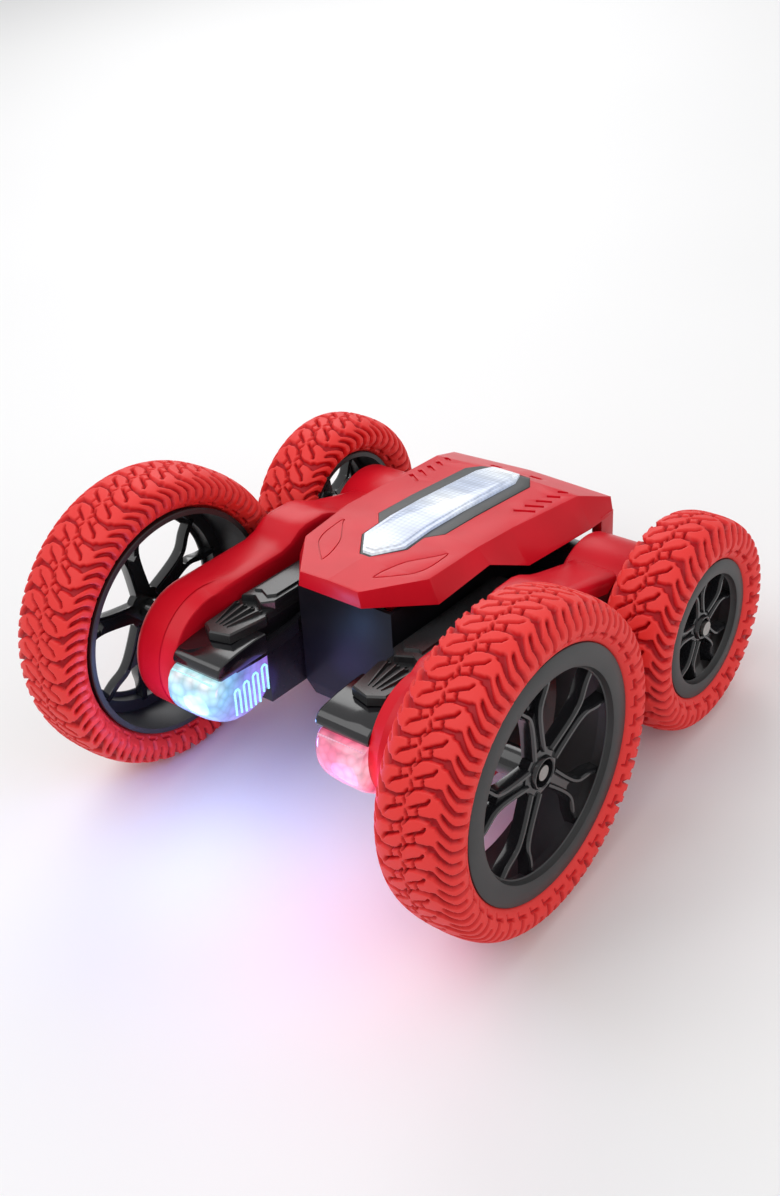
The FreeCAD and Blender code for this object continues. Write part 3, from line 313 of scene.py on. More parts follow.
class Shell:
    """Collects vertices, in metres, faces and material numbers of one piece."""

    def __init__(self):
        self.verts = []
        self.faces = []
        self.marks = []

    def loft(self, rings, caps=False, mark=0, round_trip=False):
        """Skin over closed rings of equally many points.

        caps closes the two end rings, and round_trip joins the last ring to the first.
        """
        start = len(self.verts)
        count = len(rings[0])
        for ring in rings:
            self.verts.extend(ring)
        steps = len(rings) if round_trip else len(rings) - 1
        for row in range(steps):
            low = start + row * count
            high = start + ((row + 1) % len(rings)) * count
            for index in range(count):
                following = (index + 1) % count
                self.faces.append((low + index, low + following, high + following, high + index))
                self.marks.append(mark)
        if caps:
            last = start + (len(rings) - 1) * count
            self.faces.append(tuple(range(start, start + count)))
            self.faces.append(tuple(range(last, last + count)))
            self.marks += [mark, mark]

    def lathe(self, profile, centre, side, segments=96, mark=0):
        """Closed profile of (x, radius), in millimetres, turned about the axle through centre."""
        rings = []
        for step in range(segments):
            angle = 2 * math.pi * step / segments
            rings.append([Vector((side * x * MM, centre.y + r * MM * math.sin(angle),
                                  centre.z + r * MM * math.cos(angle))) for x, r in profile])
        self.loft(rings, mark=mark, round_trip=True)

    def mesh(self, name):
        """Mesh of all that was collected, with its faces turned outwards."""
        made = bpy.data.meshes.new(name)
        made.from_pydata([tuple(vert) for vert in self.verts], [], self.faces)
        turned = bmesh.new()
        turned.from_mesh(made)
        bmesh.ops.recalc_face_normals(turned, faces=turned.faces)
        turned.to_mesh(made)
        turned.free()
        return made

    def make(self, name, materials, body, replaced=(), sharp=32.0):
        """The piece itself; a face's mark says which of the materials it takes."""
        mesh = self.mesh(name)
        for one in materials:
            mesh.materials.append(one)
        mesh.polygons.foreach_set("material_index", self.marks)
        finish_piece(name, mesh, body, replaced, sharp)


def smooth_path(points, steps=6):
    """Catmull-Rom line through the points, with so many steps between two of them."""
    padded = [2 * points[0] - points[1], *points, 2 * points[-1] - points[-2]]
    line = []
    for index in range(len(points) - 1):
        a, b, c, d = padded[index:index + 4]
        for step in range(steps):
            t = step / steps
            line.append(0.5 * (2 * b + (c - a) * t + (2 * a - 5 * b + 4 * c - d) * t * t
                               + (3 * b - a - 3 * c + d) * t * t * t))
    line.append(points[-1].copy())
    return line


def sweep(shell, line, up, section, scale=None, mark=0):
    """Section of (across, along up), in millimetres, carried along a line; scale has a size per point."""
    rings = []
    for index, place in enumerate(line):
        ahead = line[min(index + 1, len(line) - 1)] - line[max(index - 1, 0)]
        across = ahead.cross(up).normalized()
        size = scale[index] if scale else 1.0
        rings.append([place + (across * u + up * v) * size * MM for u, v in section])
    shell.loft(rings, caps=True, mark=mark)


WELD_REACH = 0.002 * MM
CAD_SHARP = 30.0


def from_cad(name, source, body, paint, bevel=0.0, cutters=(), angle=28.0):
    """The CAD node's own shape, carved by the cutters; bevel, in millimetres, rounds edges over the angle."""
    made = bpy.data.objects.new(name, frame["nodes"][source].data.copy())
    bpy.context.scene.collection.objects.link(made)
    weld = made.modifiers.new("weld", "WELD")
    weld.merge_threshold = WELD_REACH
    for number, cutter in enumerate(cutters):
        carve = made.modifiers.new("carve_%d" % number, "BOOLEAN")
        carve.object = cutter
        carve.operation = "DIFFERENCE"
        carve.solver = "EXACT"
    if bevel:
        rounding = made.modifiers.new("rounding", "BEVEL")
        rounding.width = bevel * MM
        rounding.segments = 3
        rounding.limit_method = "ANGLE"
        rounding.angle_limit = math.radians(angle)
    evaluated = made.evaluated_get(bpy.context.evaluated_depsgraph_get())
    mesh = bpy.data.meshes.new_from_object(evaluated)
    bpy.data.objects.remove(made)
    for cutter in cutters:
        bpy.data.objects.remove(cutter)
    mesh.name = name
    mesh.materials.clear()
    mesh.materials.append(paint)
    finish_piece(name, mesh, body, (source,), CAD_SHARP)


# ---------------------------------------------------------------- tyres

def smoothstep(edge, width, distance):
    """1 inside the edge, 0 outside it, with a soft wall."""
    share = np.clip((edge + width / 2 - distance) / width, 0, 1)
    return share * share * (3 - 2 * share)


def segment_distance(a, b, start, end):
    """Distance from points (a, b) to a straight stroke."""
    along = (end[0] - start[0], end[1] - start[1])
    length = along[0] ** 2 + along[1] ** 2
    share = np.clip(((a - start[0]) * along[0] + (b - start[1]) * along[1]) / length, 0, 1)
    return np.hypot(a - start[0] - share * along[0], b - start[1] - share * along[1])


def wrapped(a, pitch):
    """Distance round the tyre from the nearest whole pitch, negative before it."""
    return (a + pitch / 2) % pitch - pitch / 2


WALL = 0.38             # width of a groove's soft wall, in millimetres
TREAD_END = 0.985       # share of the reach where the tread has died away
TREAD_FADE = 0.17       # share of the reach over which it does
UNDER_LIP = 0.5         # how far the tyre's closing edge lies under the rim's lip
SIDE_STEPS = 24
SIDE_ROUND = 1.35       # exponent that fills out the sidewall
CROWN_STEPS = 80
CROWN_ROUND = 2 / 2.6   # exponent that squares the shoulder


def tread_height(a, b, pitch, reach):
    """Height, 0 to 1, of the moulded tread; a runs round the tyre and b across it from its middle.

    All lengths are in millimetres.  The middle blocks stand in from 0 to about 0.4 of reach, and the hairpin
    fingers from there to the bead.
    """
    side = np.sign(b)
    out = np.abs(b)
    t = out / reach
    sway = 0.55 * pitch * np.clip((0.59 - t) / 0.21, 0, 1) ** 1.3
    local = wrapped(a + side * (pitch / 4 - sway), pitch)

    # wide fingers between the hairpins, and a slim slit inside each one
    beyond = np.maximum(np.maximum(out - 0.69 * reach, 0.36 * reach - out), 0)
    finger = np.hypot(pitch / 2 - np.abs(local), beyond)
    groove = smoothstep(pitch * (0.105 + 0.07 * np.clip((0.56 - t) / 0.18, 0, 1)), WALL, finger)
    beyond = np.maximum(np.maximum(out - 0.785 * reach, 0.455 * reach - out), 0)
    groove = np.maximum(groove, smoothstep(0.105 * pitch, WALL, np.hypot(local, beyond)))

    # a hooked tick beside the bead
    start = (-0.30 * pitch, 0.85 * reach)
    bend = (0.24 * pitch, 0.85 * reach)
    end = (0.24 * pitch, 0.90 * reach)
    tick = np.minimum(segment_distance(local, out, start, bend), segment_distance(local, out, bend, end))
    groove = np.maximum(groove, 0.85 * smoothstep(0.055 * pitch, WALL, tick))

    # cracks that part the middle blocks; both halves of the tyre match when turned half round
    centre = wrapped(side * a + 0.1 * pitch, pitch)
    # each one: two ends as (share of pitch, share of reach), and half its width as a share of pitch
    cracks = (
        ((-0.50, 0.0), (-0.25, 0.055), 0.045),
        ((-0.25, 0.055), (0.0, 0.0), 0.045),
        ((-0.25, 0.055), (-0.10, 0.17), 0.05),
        ((-0.10, 0.17), (-0.05, 0.36), 0.085),
        ((-0.10, 0.17), (0.25, 0.13), 0.05),
        ((0.25, 0.13), (0.44, 0.24), 0.06),
        ((0.44, 0.24), (0.60, 0.27), 0.05),
        ((0.10, 0.05), (0.25, 0.13), 0.045),
    )
    for (a0, b0), (a1, b1), half in cracks:
        for turn in (-pitch, 0, pitch):
            crack = segment_distance(centre + turn, out, (a0 * pitch, b0 * reach), (a1 * pitch, b1 * reach))
            groove = np.maximum(groove, smoothstep(half * pitch, WALL, crack))
    return 1 - groove


def tyre_profile(radius, half_width, bead_radius, bead_out, bead_in, count):
    """Evenly spaced section of the tyre's outside, from the inner bead to the outer one, as (x, r), and its
    length."""
    shoulder = bead_radius + 0.42 * (radius - bead_radius)
    points = []
    for bead_x, sign in ((bead_in, -1), (bead_out, 1)):
        lower = []
        for step in range(SIDE_STEPS):
            angle = math.pi / 2 * (1 - step / SIDE_STEPS)
            lower.append((sign * (bead_x + (half_width - bead_x) * math.cos(angle) ** SIDE_ROUND),
                          shoulder - (shoulder - bead_radius) * math.sin(angle) ** SIDE_ROUND))
        upper = []
        for step in range(CROWN_STEPS):
            angle = math.pi / 2 * step / CROWN_STEPS
            upper.append((sign * half_width * math.cos(angle) ** CROWN_ROUND,
                          shoulder + (radius - shoulder) * math.sin(angle) ** CROWN_ROUND))
        half = lower + upper
        points += half if sign < 0 else half[::-1]
    line = np.array(points)
    steps = np.hypot(*np.diff(line, axis=0).T)
    run = np.concatenate(([0], np.cumsum(steps)))
    even = np.linspace(0, run[-1], count)
    return np.stack([np.interp(even, run, line[:, 0]), np.interp(even, run, line[:, 1])], axis=1), run[-1]


def tyre(side_name, side, end, pitches, per_pitch, across, deep):
    """Tyre with its tread in the mesh, closed under the rim's lips.

    The skin has pitches times per_pitch points round it and across points over it; deep is the grooves'
    depth in millimetres.
    """
    low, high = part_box("%s_%s_tyre" % (side_name, end))
    rim_low, rim_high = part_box("%s_%s_rim" % (side_name, end))
    centre = FRONT_AXLE if end == "front" else REAR_AXLE
    radius = (high[2] - low[2]) / 2 / MM
    half_width = (high[0] - low[0]) / 2 / MM
    middle = side * (low[0] + high[0]) / 2 / MM
    lip = (rim_high[2] - rim_low[2]) / 2 / MM
    outer_face = max(abs(rim_low[0]), abs(rim_high[0])) / MM - middle
    profile, length = tyre_profile(radius, half_width, lip, outer_face - 1.1, outer_face - 4.0, across)
    tangent = np.gradient(profile, axis=0)
    tangent /= np.linalg.norm(tangent, axis=1)[:, None]
    normal = np.stack([-tangent[:, 1], tangent[:, 0]], axis=1)
    reach = length / 2
    b = np.linspace(-reach, reach, across)
    count = pitches * per_pitch
    pitch = 2 * math.pi * radius / pitches
    a = np.arange(count) / count * 2 * math.pi * radius
    height = tread_height(a[:, None], b[None, :], pitch, reach)
    fade = np.clip((TREAD_END - np.abs(b) / reach) / TREAD_FADE, 0, 1)
    depth = deep * fade[None, :] * (1 - height)
    x = profile[None, :, 0] - normal[None, :, 0] * depth
    r = profile[None, :, 1] - normal[None, :, 1] * depth
    closing = np.array([[profile[-1, 0], lip - UNDER_LIP], [profile[0, 0], lip - UNDER_LIP]])
    x = np.concatenate([x, np.broadcast_to(closing[:, 0], (count, 2))], axis=1)
    r = np.concatenate([r, np.broadcast_to(closing[:, 1], (count, 2))], axis=1)
    height = np.concatenate([height, np.zeros((count, 2))], axis=1)
    angle = np.arange(count)[:, None] / count * 2 * math.pi
    verts = np.stack([side * (middle + x) * MM, centre.y + r * MM * np.sin(angle) * np.ones_like(x),
                      centre.z + r * MM * np.cos(angle)], axis=-1)
    width = across + 2
    row = np.arange(count)[:, None] * width
    following = ((np.arange(count) + 1) % count)[:, None] * width
    column = np.arange(width)[None, :]
    beside = (column + 1) % width
    faces = np.stack([row + column, row + beside, following + beside, following + column], axis=-1)
    faces = faces.reshape(-1, 4)
    if side < 0:
        faces = faces[:, ::-1]
    mesh = bpy.data.meshes.new("%s_%s_tyre_tread" % (side_name, end))
    mesh.vertices.add(count * width)
    mesh.vertices.foreach_set("co", verts.reshape(-1))
    mesh.loops.add(faces.size)
    mesh.loops.foreach_set("vertex_index", faces.reshape(-1).astype(np.int32))
    mesh.polygons.add(len(faces))
    mesh.polygons.foreach_set("loop_start", np.arange(0, faces.size, 4, dtype=np.int32))
    mesh.update(calc_edges=True)
    # the tread height, which the tyre material turns into painted shade in the grooves
    mark = mesh.attributes.new("tread", "FLOAT", "POINT")
    mark.data.foreach_set("value", height.reshape(-1).astype(np.float32))
    mesh.materials.append(MATERIALS["tyre_red"])
    finish_piece(mesh.name, mesh, "%s_%s_wheel" % (side_name, end),
                 ("%s_%s_tyre" % (side_name, end),), None)


# ---------------------------------------------------------------- rims

def rim(side_name, side, end):
    """Lipped rim: satin face ring, deep barrel, hub ring and five pairs of slim forked spokes.

    The rear rim is the front one made smaller by grow, with its spokes spread a little by squeeze.
    """
    low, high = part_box("%s_%s_rim" % (side_name, end))
    tyre_low, tyre_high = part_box("%s_%s_tyre" % (side_name, end))
    front = end == "front"
    centre = FRONT_AXLE if front else REAR_AXLE
    lip = (high[2] - low[2]) / 2 / MM
    face = max(abs(low[0]), abs(high[0])) / MM
    middle = abs(tyre_low[0] + tyre_high[0]) / 2 / MM
    hub_start = min(abs(low[0]), abs(high[0])) / MM
    grow = 1.0 if front else 0.66
    ring = lip * (0.822 if front else 0.792)
    back = middle - (12.4 if front else 8.5)
    bead = lip - 0.55
    well = bead - 1.4
    shell = Shell()
    shell.lathe([
        (face - 0.5, ring), (face - 0.15, ring + 0.1), (face, ring + 0.5), (face, lip - 0.8),
        (face - 0.3, lip - 0.15), (face - 0.7, lip), (face - 1.2, lip), (face - 1.2, bead),
        (back + 1.1, bead), (back + 1.1, lip), (back + 0.3, lip), (back, lip - 0.3), (back, well),
        (face - 6.5, well), (face - 6.5, ring + 1.2), (face - 2.6, ring + 0.9),
        (face - 2.6, ring - 0.8 * grow), (face - 2.2, ring - 1.0 * grow), (face - 1.9, ring - 0.6 * grow),
    ], centre, side, segments=160)
    hub = 5.4 if front else 4.2
    hub_face = face - (2.6 if front else 1.9)
    hub_back = hub_face - 5.0
    screw_seat = max(hub_face - 4.2, hub_start + 10)
    shell.lathe([
        (hub_face - 0.3, hub - 0.9), (hub_face, hub - 0.6), (hub_face, hub - 0.2), (hub_face - 0.4, hub),
        (hub_face - 1.4, hub + 0.3), (hub_face - 1.7, hub + 2.6 * grow), (hub_back, hub + 2.8 * grow),
        (hub_back, 5.0), (hub_start, 5.0), (hub_start, 2.05), (screw_seat, 2.05), (screw_seat, hub - 1.5),
    ], centre, side, segments=64, mark=1)
    reach = (ring + 0.8) / 35.3
    path = ((2.5, 7.2), (2.25, 12.0), (2.15, 17.0), (2.4, 21.5), (3.5, 25.2), (6.7, 29.6), (9.4, 35.3))
    half = 1.05 * grow ** 0.5
    section = [(-half, -4.6), (-half, -1.1), (-0.75 * half, -0.5), (-0.4 * half, 0.0), (0.4 * half, 0.0),
               (0.75 * half, -0.5), (half, -1.1), (half, -4.6)]
    outward = Vector((side, 0, 0))
    squeeze = 1.0 if front else 1.3

    def spoke_point(depth, u, v, turn):
        """Point at a depth along the axle, u across and v out along the spoke at an angle of turn."""
        return Vector((side * depth * MM, centre.y + (u * math.cos(turn) + v * math.sin(turn)) * MM,
                       centre.z + (v * math.cos(turn) - u * math.sin(turn)) * MM))

    for spoke in range(5):
        turn = 2 * math.pi * spoke / 5
        for twin in (-1, 1):
            line = []
            for across, along in path:
                u = twin * across * reach * squeeze
                v = along * reach if along > 8 else hub + 1.6 * grow
                depth = hub_face - 0.9 + (face - 1.6 - hub_face) * v / ring
                line.append(spoke_point(depth, u, v, turn))
            sweep(shell, smooth_path(line), outward, section, mark=1)
        web = []
        for u, v in ((-2.4, hub + 1), (-2.1, 17.0 * reach), (-2.9, 23.4 * reach), (0, 21.4 * reach),
                     (2.9, 23.4 * reach), (2.1, 17.0 * reach), (2.4, hub + 1)):
            web.append((u * reach * squeeze, v))
        rings = []
        for depth in (hub_face - 5.4, hub_face - 2.2):
            rings.append([spoke_point(depth, u, v, turn) for u, v in web])
        shell.loft(rings, caps=True, mark=1)
    shell.make("%s_%s_rim_cast" % (side_name, end), (MATERIALS["rim_black"], SPOKE_GLOSS),
               "%s_%s_wheel" % (side_name, end), ("%s_%s_rim" % (side_name, end),), sharp=28.0)


# ---------------------------------------------------------------- arms

def arm_outline():
    """Side outline of an arm as (s, n): round nose, beam, hump and the run down to the tail.  Below the axle
    line it mirrors the top."""
    nose_s, nose_r, nose_steps = -5.5, 23.5, 32
    points = []
    for step in range(nose_steps + 1):
        angle = math.pi / 2 + math.pi * step / nose_steps
        points.append((nose_s + nose_r * math.cos(angle), nose_r * math.sin(angle)))
    edge = [(-4.5, 23.5), (1, 23.5), (8, 23.6), (15, 23.7), (28, 23.9), (33, 25.2), (38, 28.2), (42, 29.0),
            (51, 29.0), (55, 28.0), (61, 25.2), (66, 23.6), (74, 21.6), (82, 19.6), (91, 17.5)]
    bottom = [(s, -n) for s, n in edge]
    top = edge[::-1]
    return points + bottom + top


def inset_outline(outline, amount):
    """Outline drawn in by an amount along its own normals."""
    count = len(outline)
    moved = []
    for index, (s, n) in enumerate(outline):
        before = outline[index - 1]
        after = outline[(index + 1) % count]
        ds, dn = after[0] - before[0], after[1] - before[1]
        size = math.hypot(ds, dn) or 1.0
        moved.append((s - dn / size * amount, n + ds / size * amount))
    return moved


def arm_shell(side_name, side):
    """Red arm: rounded outer edge, soft shoulder towards the chassis, bevelled nose and tail barrel."""
    outline = arm_outline()
    outer_x, band = 60.0, 6.0
    shell = Shell()
    rings = []
    for x, amount in ((outer_x, band), (outer_x, 3.4), (59.8, 2.2), (59.3, 1.2), (58.4, 0.45), (57.0, 0.05),
                      (55.5, 0.0), (50.0, 0.0), (47.4, 0.0)):
        rings.append([at(side * x, s, n) for s, n in inset_outline(outline, amount)])
    # each row: x and inset on the bevelled nose, then x and inset along the top
    rows = (
        (48.5, 0.08, 46.0, 0.0), (42.9, 1.8, 42.2, 0.25), (42.3, 2.0, 41.3, 0.6), (42.1, 2.4, 40.9, 1.2),
        (42.1, 4.5, 40.7, 2.2), (42.1, 7.0, 40.7, 4.0), (42.1, 12.0, 40.7, 8.0),
    )
    for nose_x, nose_in, top_x, top_in in rows:
        ring = []
        drawn_nose = inset_outline(outline, nose_in)
        drawn_top = inset_outline(outline, top_in)
        for (s, _), (nose_s, nose_n), (top_s, top_n) in zip(outline, drawn_nose, drawn_top):
            nose = min(max((1.0 - s) / 5.5, 0.0), 1.0)
            above = min(max((top_n - 4.0) / 6.0, 0.0), 1.0)
            inner = nose_x * nose + (top_x * above + (top_x + 3.5) * (1 - above)) * (1 - nose)
            n = nose_n * nose + top_n * (1 - nose)
            if nose_in > 8 and n > 4:
                n += (13.3 - n) * (1 - nose)
            ring.append(at(side * inner, nose_s * nose + top_s * (1 - nose), n))
        rings.append(ring)
    shell.loft(rings)
    # the outer face, painted black as painted shade where the red arm lies in shade behind the wheel: a wide
    # band, then one narrow face along the middle
    face = [at(side * outer_x, s, n) for s, n in inset_outline(outline, band)]
    middle = [at(side * outer_x, 30 + (s - 30) * 0.82, n * 0.2) for s, n in outline]
    shell.loft([face, middle], mark=1)
    last = len(shell.verts)
    shell.faces.append(tuple(range(last - len(middle), last)))
    shell.marks.append(1)
    shell.lathe([
        (38.5, 9.6), (38.5, 20.6), (38.7, 21.2), (39.3, 21.5), (63.2, 21.5), (63.8, 21.3), (64.0, 20.9),
        (64.0, 19.9), (63.6, 19.7), (60.4, 19.7), (60.4, 8.0), (60.9, 7.4), (60.9, 5.1), (57.0, 5.1),
        (57.0, 9.6),
    ], REAR_AXLE, side, segments=96)
    bearing_collar = [(58.0, 5.1), (60.9, 5.1), (60.9, 8.2), (60.3, 8.8), (58.0, 9.2)]
    shell.lathe(bearing_collar, FRONT_AXLE, side, segments=64)
    shell.make("%s_arm_skin" % side_name, (MATERIALS["body_red"], SATIN_BLACK), "%s_arm" % side_name,
               ("%s_arm_shell" % side_name,), sharp=24.0)


def claw_plate(side_name, side):
    """Black clawed plate: chamfered tongue, four tapered fins with sockets and a raised, notched slab."""
    body = "%s_arm" % side_name
    shell = Shell()
    tongue = ((26.4, -14.4), (34.1, -16.4), (39.2, -13.3), (40.4, 3.0), (40.4, 62.0), (25.6, 62.0),
              (25.6, 3.0), (24.2, 1.0))
    middle_x = 32.5

    def rings(points, levels):
        made = []
        for inset, n in levels:
            made.append([at(side * (x + (inset if x < middle_x else -inset)),
                            s + (inset if s < 0 else -inset if s > 50 else 0), n) for x, s in points])
        return made

    shell.loft(rings(tongue, ((0.0, 12.5), (0.0, 15.4), (0.45, 16.0))), caps=True)
    slab = ((25.7, 7.2), (28.9, 3.6), (34.6, 6.4), (38.4, 4.2), (38.6, 62.0), (25.7, 62.0))
    inner = ((27.4, 10.0), (29.6, 7.6), (34.4, 9.6), (36.4, 8.6), (36.6, 62.0), (27.4, 62.0))
    shell.loft([
        [at(side * x, s, 15.7) for x, s in slab], [at(side * x, s, 18.1) for x, s in slab],
        [at(side * (x + (0.4 if x < middle_x else -0.4)), s + 0.4, 18.6) for x, s in slab],
        [at(side * x, s, 18.6) for x, s in inner],
        [at(side * (x + (0.3 if x < middle_x else -0.3)), s + 0.4, 19.4) for x, s in inner],
    ], caps=True)
    for row in range(4):
        x = 28.0 + 3.5 * row
        tip_x = 30.6 + 1.7 * row
        line = [at(side * (x + (tip_x - x) * k / 5), 1.2 - 2.5 * k, 15.95) for k in range(6)]
        fin = [(-0.75, 0.0), (-0.28, 1.35), (0.28, 1.35), (0.75, 0.0)]
        sweep(shell, line, ABOVE, fin, scale=[1.0, 0.92, 0.8, 0.66, 0.5, 0.28])
        socket = []
        for radius, height in ((0.95, -0.1), (0.95, 0.75), (0.6, 0.9), (0.45, 0.3)):
            socket.append([at(side * (x + radius * math.cos(2 * math.pi * k / 16)),
                              1.9 + radius * math.sin(2 * math.pi * k / 16), 16.0 + height)
                           for k in range(16)])
        shell.loft(socket, caps=True)
    shell.make("%s_claw_plate" % side_name, (SATIN_BLACK,), body,
               ("%s_step_plate" % side_name,), sharp=20.0)


def nose_bar(side_name, side):
    """Black nose bar with a rolled front edge, running on as a rail along the inner side of the arm."""
    shell = Shell()
    section = ((-25.2, 5.2), (-26.2, 5.9), (-26.6, 7.0), (-26.4, 8.3), (-25.7, 9.5), (-24.6, 10.3),
               (-23.4, 10.9), (-16.0, 12.0), (-8.2, 12.6), (-3.2, 12.6), (-3.2, 5.2))
    rows = []
    ends = ((20.8, 0.7), (21.0, 0.25), (21.5, 0.0), (32.0, 0.0), (41.7, 0.0), (42.2, 0.2), (42.3, 0.5))
    for x, inset in ends:
        rows.append([at(side * x, s + (inset if s < -14 else -inset * 0.2), n + (inset if n < 8 else -inset))
                     for s, n in section])
    shell.loft(rows, caps=True)
    line = smooth_path([at(side * x, s, n) for x, s, n in (
        (22.2, -18.0, 7.6), (22.2, -8.0, 7.0), (22.2, 4.0, 7.0), (22.3, 14.0, 8.2), (22.6, 22.0, 10.5),
        (23.2, 30.0, 12.6))])
    rail = [(-1.3, -2.6), (-1.3, 1.8), (-0.9, 2.4), (0.9, 2.4), (1.3, 1.8), (1.3, -2.6)]
    sweep(shell, line, ABOVE, rail)
    shell.make("%s_nose_bar" % side_name, (MATERIALS["gloss_black"],), "%s_arm" % side_name,
               ("%s_bumper" % side_name,), sharp=26.0)


def headlight(side_name, side):
    """Clear bowl under the nose bar with a rounded front, and raised glowing ribs on its inner side."""
    body = "%s_arm" % side_name
    shell = Shell()
    section = [(-27.2, 5.1), (-29.3, 3.9), (-30.8, 1.4), (-31.4, -1.8), (-31.1, -5.2), (-29.8, -8.4),
               (-27.4, -11.4), (-24.2, -13.8), (-20.4, -15.4), (-16.4, -16.1), (-12.0, -15.9), (-8.0, -14.9),
               (-5.2, -12.6), (2.0, 2.0), (2.4, 5.1)]
    middle_s, middle_n = -8.0, 5.1
    rows = []
    for x, shrink in ((21.6, 0.80), (21.9, 0.85), (22.7, 0.905), (24.0, 0.945), (26.0, 0.975), (28.8, 0.993),
                      (32.0, 1.0), (39.5, 1.0), (41.2, 0.985), (42.0, 0.955), (42.2, 0.92)):
        rows.append([at(side * x, middle_s + (s - middle_s) * (shrink if s < middle_s else 1.0),
                        middle_n + (n - middle_n) * shrink) for s, n in section])
    shell.loft(rows, caps=True)
    shell.make("%s_headlight_bowl" % side_name, (HEADLIGHT[side],), body,
               ("%s_headlight_lens" % side_name,), sharp=35.0)
    ribs = Shell()
    panel_x, rib_radius, rib_sides = 21.5, 0.42, 8
    round_section = []
    for k in range(rib_sides):
        angle = 2 * math.pi * k / rib_sides
        round_section.append((rib_radius * math.cos(angle), rib_radius * math.sin(angle)))
    for row in range(4):
        s = -18.6 + 4.5 * row
        top = -1.6 + 0.9 * row
        foot = (-11.2, -11.9, -11.9, -9.0)[row]
        leg, corner = 1.15, 0.7
        loop = ((s - leg, foot), (s - leg, top - corner), (s - leg + corner, top), (s + leg - corner, top),
                (s + leg, top - corner), (s + leg, foot))
        sweep(ribs, [at(side * panel_x, s, n) for s, n in loop], Vector((side, 0, 0)), round_section)
    lip = [at(side * x, -27.9, 4.3) for x in (41.3, 32.0, 23.2)]
    sweep(ribs, lip, ABOVE, round_section)
    ribs.make("%s_headlight_ribs" % side_name, (RIB_GLOW[side],), body)


# ---------------------------------------------------------------- hood and roof lamp

def surface_finder(source):
    """Function that finds the height n of a CAD node's top at (x, s)."""
    mesh = frame["nodes"][source].data
    tree = BVHTree.FromPolygons([vert.co.copy() for vert in mesh.vertices],
                                [tuple(face.vertices) for face in mesh.polygons])

    def height(x, s):
        hit = tree.ray_cast(at(x, s, 80), -ABOVE)[0]
        return (hit - FRONT_AXLE).dot(ABOVE) / MM

    return height


def cutter(name, rings_list, ring_closed):
    """Helper solid for carving, removed once it has carved; ring_closed makes each loop an endless groove."""
    shell = Shell()
    for rings in rings_list:
        shell.loft(rings, caps=not ring_closed, round_trip=ring_closed)
    made = bpy.data.objects.new(name, shell.mesh(name))
    bpy.context.scene.collection.objects.link(made)
    return made


def eye_groove(height):
    """Closed almond-shaped grooves on the front of the hood."""
    loops = []
    for _, side in SIDES:
        outer = [(10.9, 16.3), (15.4, 20.4), (20.2, 25.6), (22.2, 30.5), (22.8, 36.0), (22.6, 41.5)]
        inner = [(20.6, 38.6), (17.2, 34.2), (14.0, 29.6), (12.0, 24.0), (11.0, 19.6)]
        path = [Vector((x, s, 0)) for x, s in outer + inner]
        around = smooth_path(path + path[:1], 4)[:-1]
        rings = []
        count = len(around)
        for index, place in enumerate(around):
            ahead = around[(index + 1) % count] - around[index - 1]
            across = Vector((-ahead.y, ahead.x, 0)).normalized() * 0.36
            ring = []
            for share, drop in ((-1, 1.2), (-0.5, -0.42), (0.5, -0.42), (1, 1.2)):
                x = place.x + across.x * share
                s = place.y + across.y * share
                ring.append(at(side * x, s, height(side * place.x, place.y) + drop))
            rings.append(ring)
        loops.append(rings)
    return cutter("eye_cutter", loops, True)


def slot_cutter(height):
    """Five slots on each rear flank, shorter towards the rear, and two recesses behind the lamp."""
    loops = []
    for _, side in SIDES:
        for row in range(5):
            share = row / 4
            x0, s0 = 21.3 + 2.8 * share, 80.8 + 23.4 * share
            x1, s1 = 27.6 - 0.2 * share, 85.1 + 21.1 * share
            direction = Vector((x1 - x0, s1 - s0)).normalized()
            across = Vector((-direction.y, direction.x)) * 0.85
            n0 = height(side * x0, s0)
            n1 = height(side * x1, s1)
            corners = [(x0 + across.x, s0 + across.y, n0), (x0 - across.x, s0 - across.y, n0),
                       (x1 - across.x, s1 - across.y, n1), (x1 + across.x, s1 + across.y, n1)]
            loops.append([[at(side * x, s, n + drop) for x, s, n in corners] for drop in (-0.75, 2.0)])
        n = height(side * 9, 113)
        corners = ((6.5, 111.4), (11.4, 111.8), (11.4, 114.2), (6.5, 113.8))
        loops.append([[at(side * x, s, n + drop) for x, s in corners] for drop in (-0.8, 2.5)])
    return cutter("slot_cutter", loops, False)


def hood():
    """Red hood with its facets rounded and its grooves and slots cut."""
    height = surface_finder("hood")
    from_cad("hood_moulding", "hood", "chassis", MATERIALS["body_red"], bevel=0.45,
             cutters=(eye_groove(height), slot_cutter(height)), angle=14.0)


# ---------------------------------------------------------------- build

for side_name, side in SIDES:
    tyre(side_name, side, "front", pitches=40, per_pitch=24, across=156, deep=1.7)
    tyre(side_name, side, "rear", pitches=24, per_pitch=26, across=130, deep=1.8)
    for end in ("front", "rear"):
        rim(side_name, side, end)
    arm_shell(side_name, side)
    claw_plate(side_name, side)
    nose_bar(side_name, side)
    headlight(side_name, side)
    from_cad("%s_inner_cover" % side_name, "%s_arm_cover" % side_name, "%s_arm" % side_name,
             INNER_BLACK, bevel=0.35)
hood()
from_cad("roof_lamp_frame", "lamp_bezel", "chassis", MATERIALS["rim_black"], bevel=0.25)
from_cad("roof_lamp_glass", "lamp_lens", "chassis", MATERIALS["clear_lens"], bevel=0.4)
from_cad("tub_moulding", "tray", "chassis", TUB_BLACK, bevel=0.6)
from_cad("battery_cover", "battery_door", "chassis", MATERIALS["chassis_black"])


# ---------------------------------------------------------------- studio

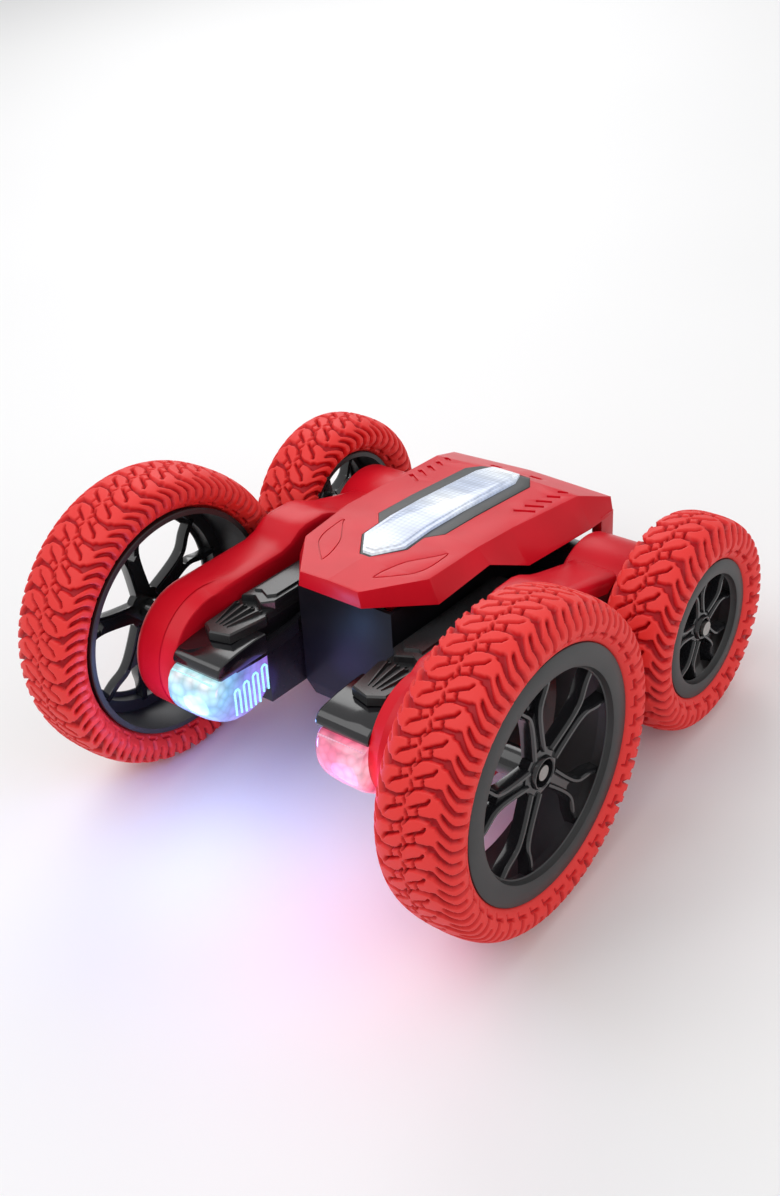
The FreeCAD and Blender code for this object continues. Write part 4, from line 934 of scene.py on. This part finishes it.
def floor():
    size = 3.0
    corners = [(-size, -size, 0), (size, -size, 0), (size, size, 0), (-size, size, 0)]
    mesh = bpy.data.meshes.new("studio_floor")
    mesh.from_pydata(corners, [], [(0, 1, 2, 3)])
    mesh.materials.append(floor_paint("floor_paint"))
    made = bpy.data.objects.new("studio_floor", mesh)
    bpy.context.scene.collection.objects.link(made)


def lamp(name, kind, place, target, energy, size, colour=WHITE):
    """Light turned to the target; energy in watts, size in metres."""
    data = bpy.data.lights.new(name, kind)
    data.energy = energy
    data.color = colour
    if kind == "AREA":
        data.size = size
    else:
        data.shadow_soft_size = size
    made = bpy.data.objects.new(name, data)
    made.location = place
    made.rotation_euler = (Vector(target) - Vector(place)).to_track_quat("-Z", "Y").to_euler()
    bpy.context.scene.collection.objects.link(made)


def studio():
    """Pale floor, white surroundings, three soft lights and the glow of the car's own lamps."""
    floor()
    world = bpy.data.worlds.new("studio")
    world.use_nodes = True
    background = world.node_tree.nodes["Background"]
    background.inputs["Color"].default_value = (*WHITE, 1)
    background.inputs["Strength"].default_value = 0.62
    bpy.context.scene.world = world
    centre = (0, 0, 0.04)
    lamp("key", "AREA", (-0.25, -0.35, 0.9), centre, energy=4.0, size=0.9)
    lamp("rim_light", "AREA", (-0.6, 0.7, 0.6), centre, energy=2.8, size=0.6)
    lamp("side", "AREA", (0.9, 0.1, 0.5), centre, energy=1.6, size=0.6)
    glow_size = 0.012
    lamp("glow_white", "POINT", at(-32, -36, -10), centre, 0.080, glow_size, (0.20, 0.42, 1.0))
    lamp("glow_pink", "POINT", at(33, -36, -10), centre, 0.035, glow_size, (1.0, 0.15, 0.5))
    lamp("glow_inside", "POINT", at(-14, -4, -14), centre, 0.008, glow_size, (0.2, 0.15, 1.0))


def camera():
    """Camera in front of the left headlight and above it, turned by yaw, pitch and roll in degrees."""
    yaw, pitch, roll = (math.radians(angle) for angle in (44.96, 37.34, -11.23))
    back = Vector((math.sin(yaw) * math.cos(pitch), -math.cos(yaw) * math.cos(pitch), math.sin(pitch)))
    right = Vector((math.cos(yaw), math.sin(yaw), 0))
    up = back.cross(right)
    rolled_right = math.cos(roll) * right + math.sin(roll) * up
    rolled_up = -math.sin(roll) * right + math.cos(roll) * up
    data = bpy.data.cameras.new("camera")
    data.lens = 45.51
    data.sensor_width = 36
    data.clip_start = 0.01
    made = bpy.data.objects.new("camera", data)
    turn = Matrix((rolled_right, rolled_up, back)).transposed()
    place = (0.2915, -0.29375, 0.3770)
    made.matrix_world = Matrix.Translation(place) @ turn.to_4x4()
    bpy.context.scene.collection.objects.link(made)
    bpy.context.scene.camera = made


studio()
camera()
bpy.context.scene.view_settings.view_transform = "Standard"
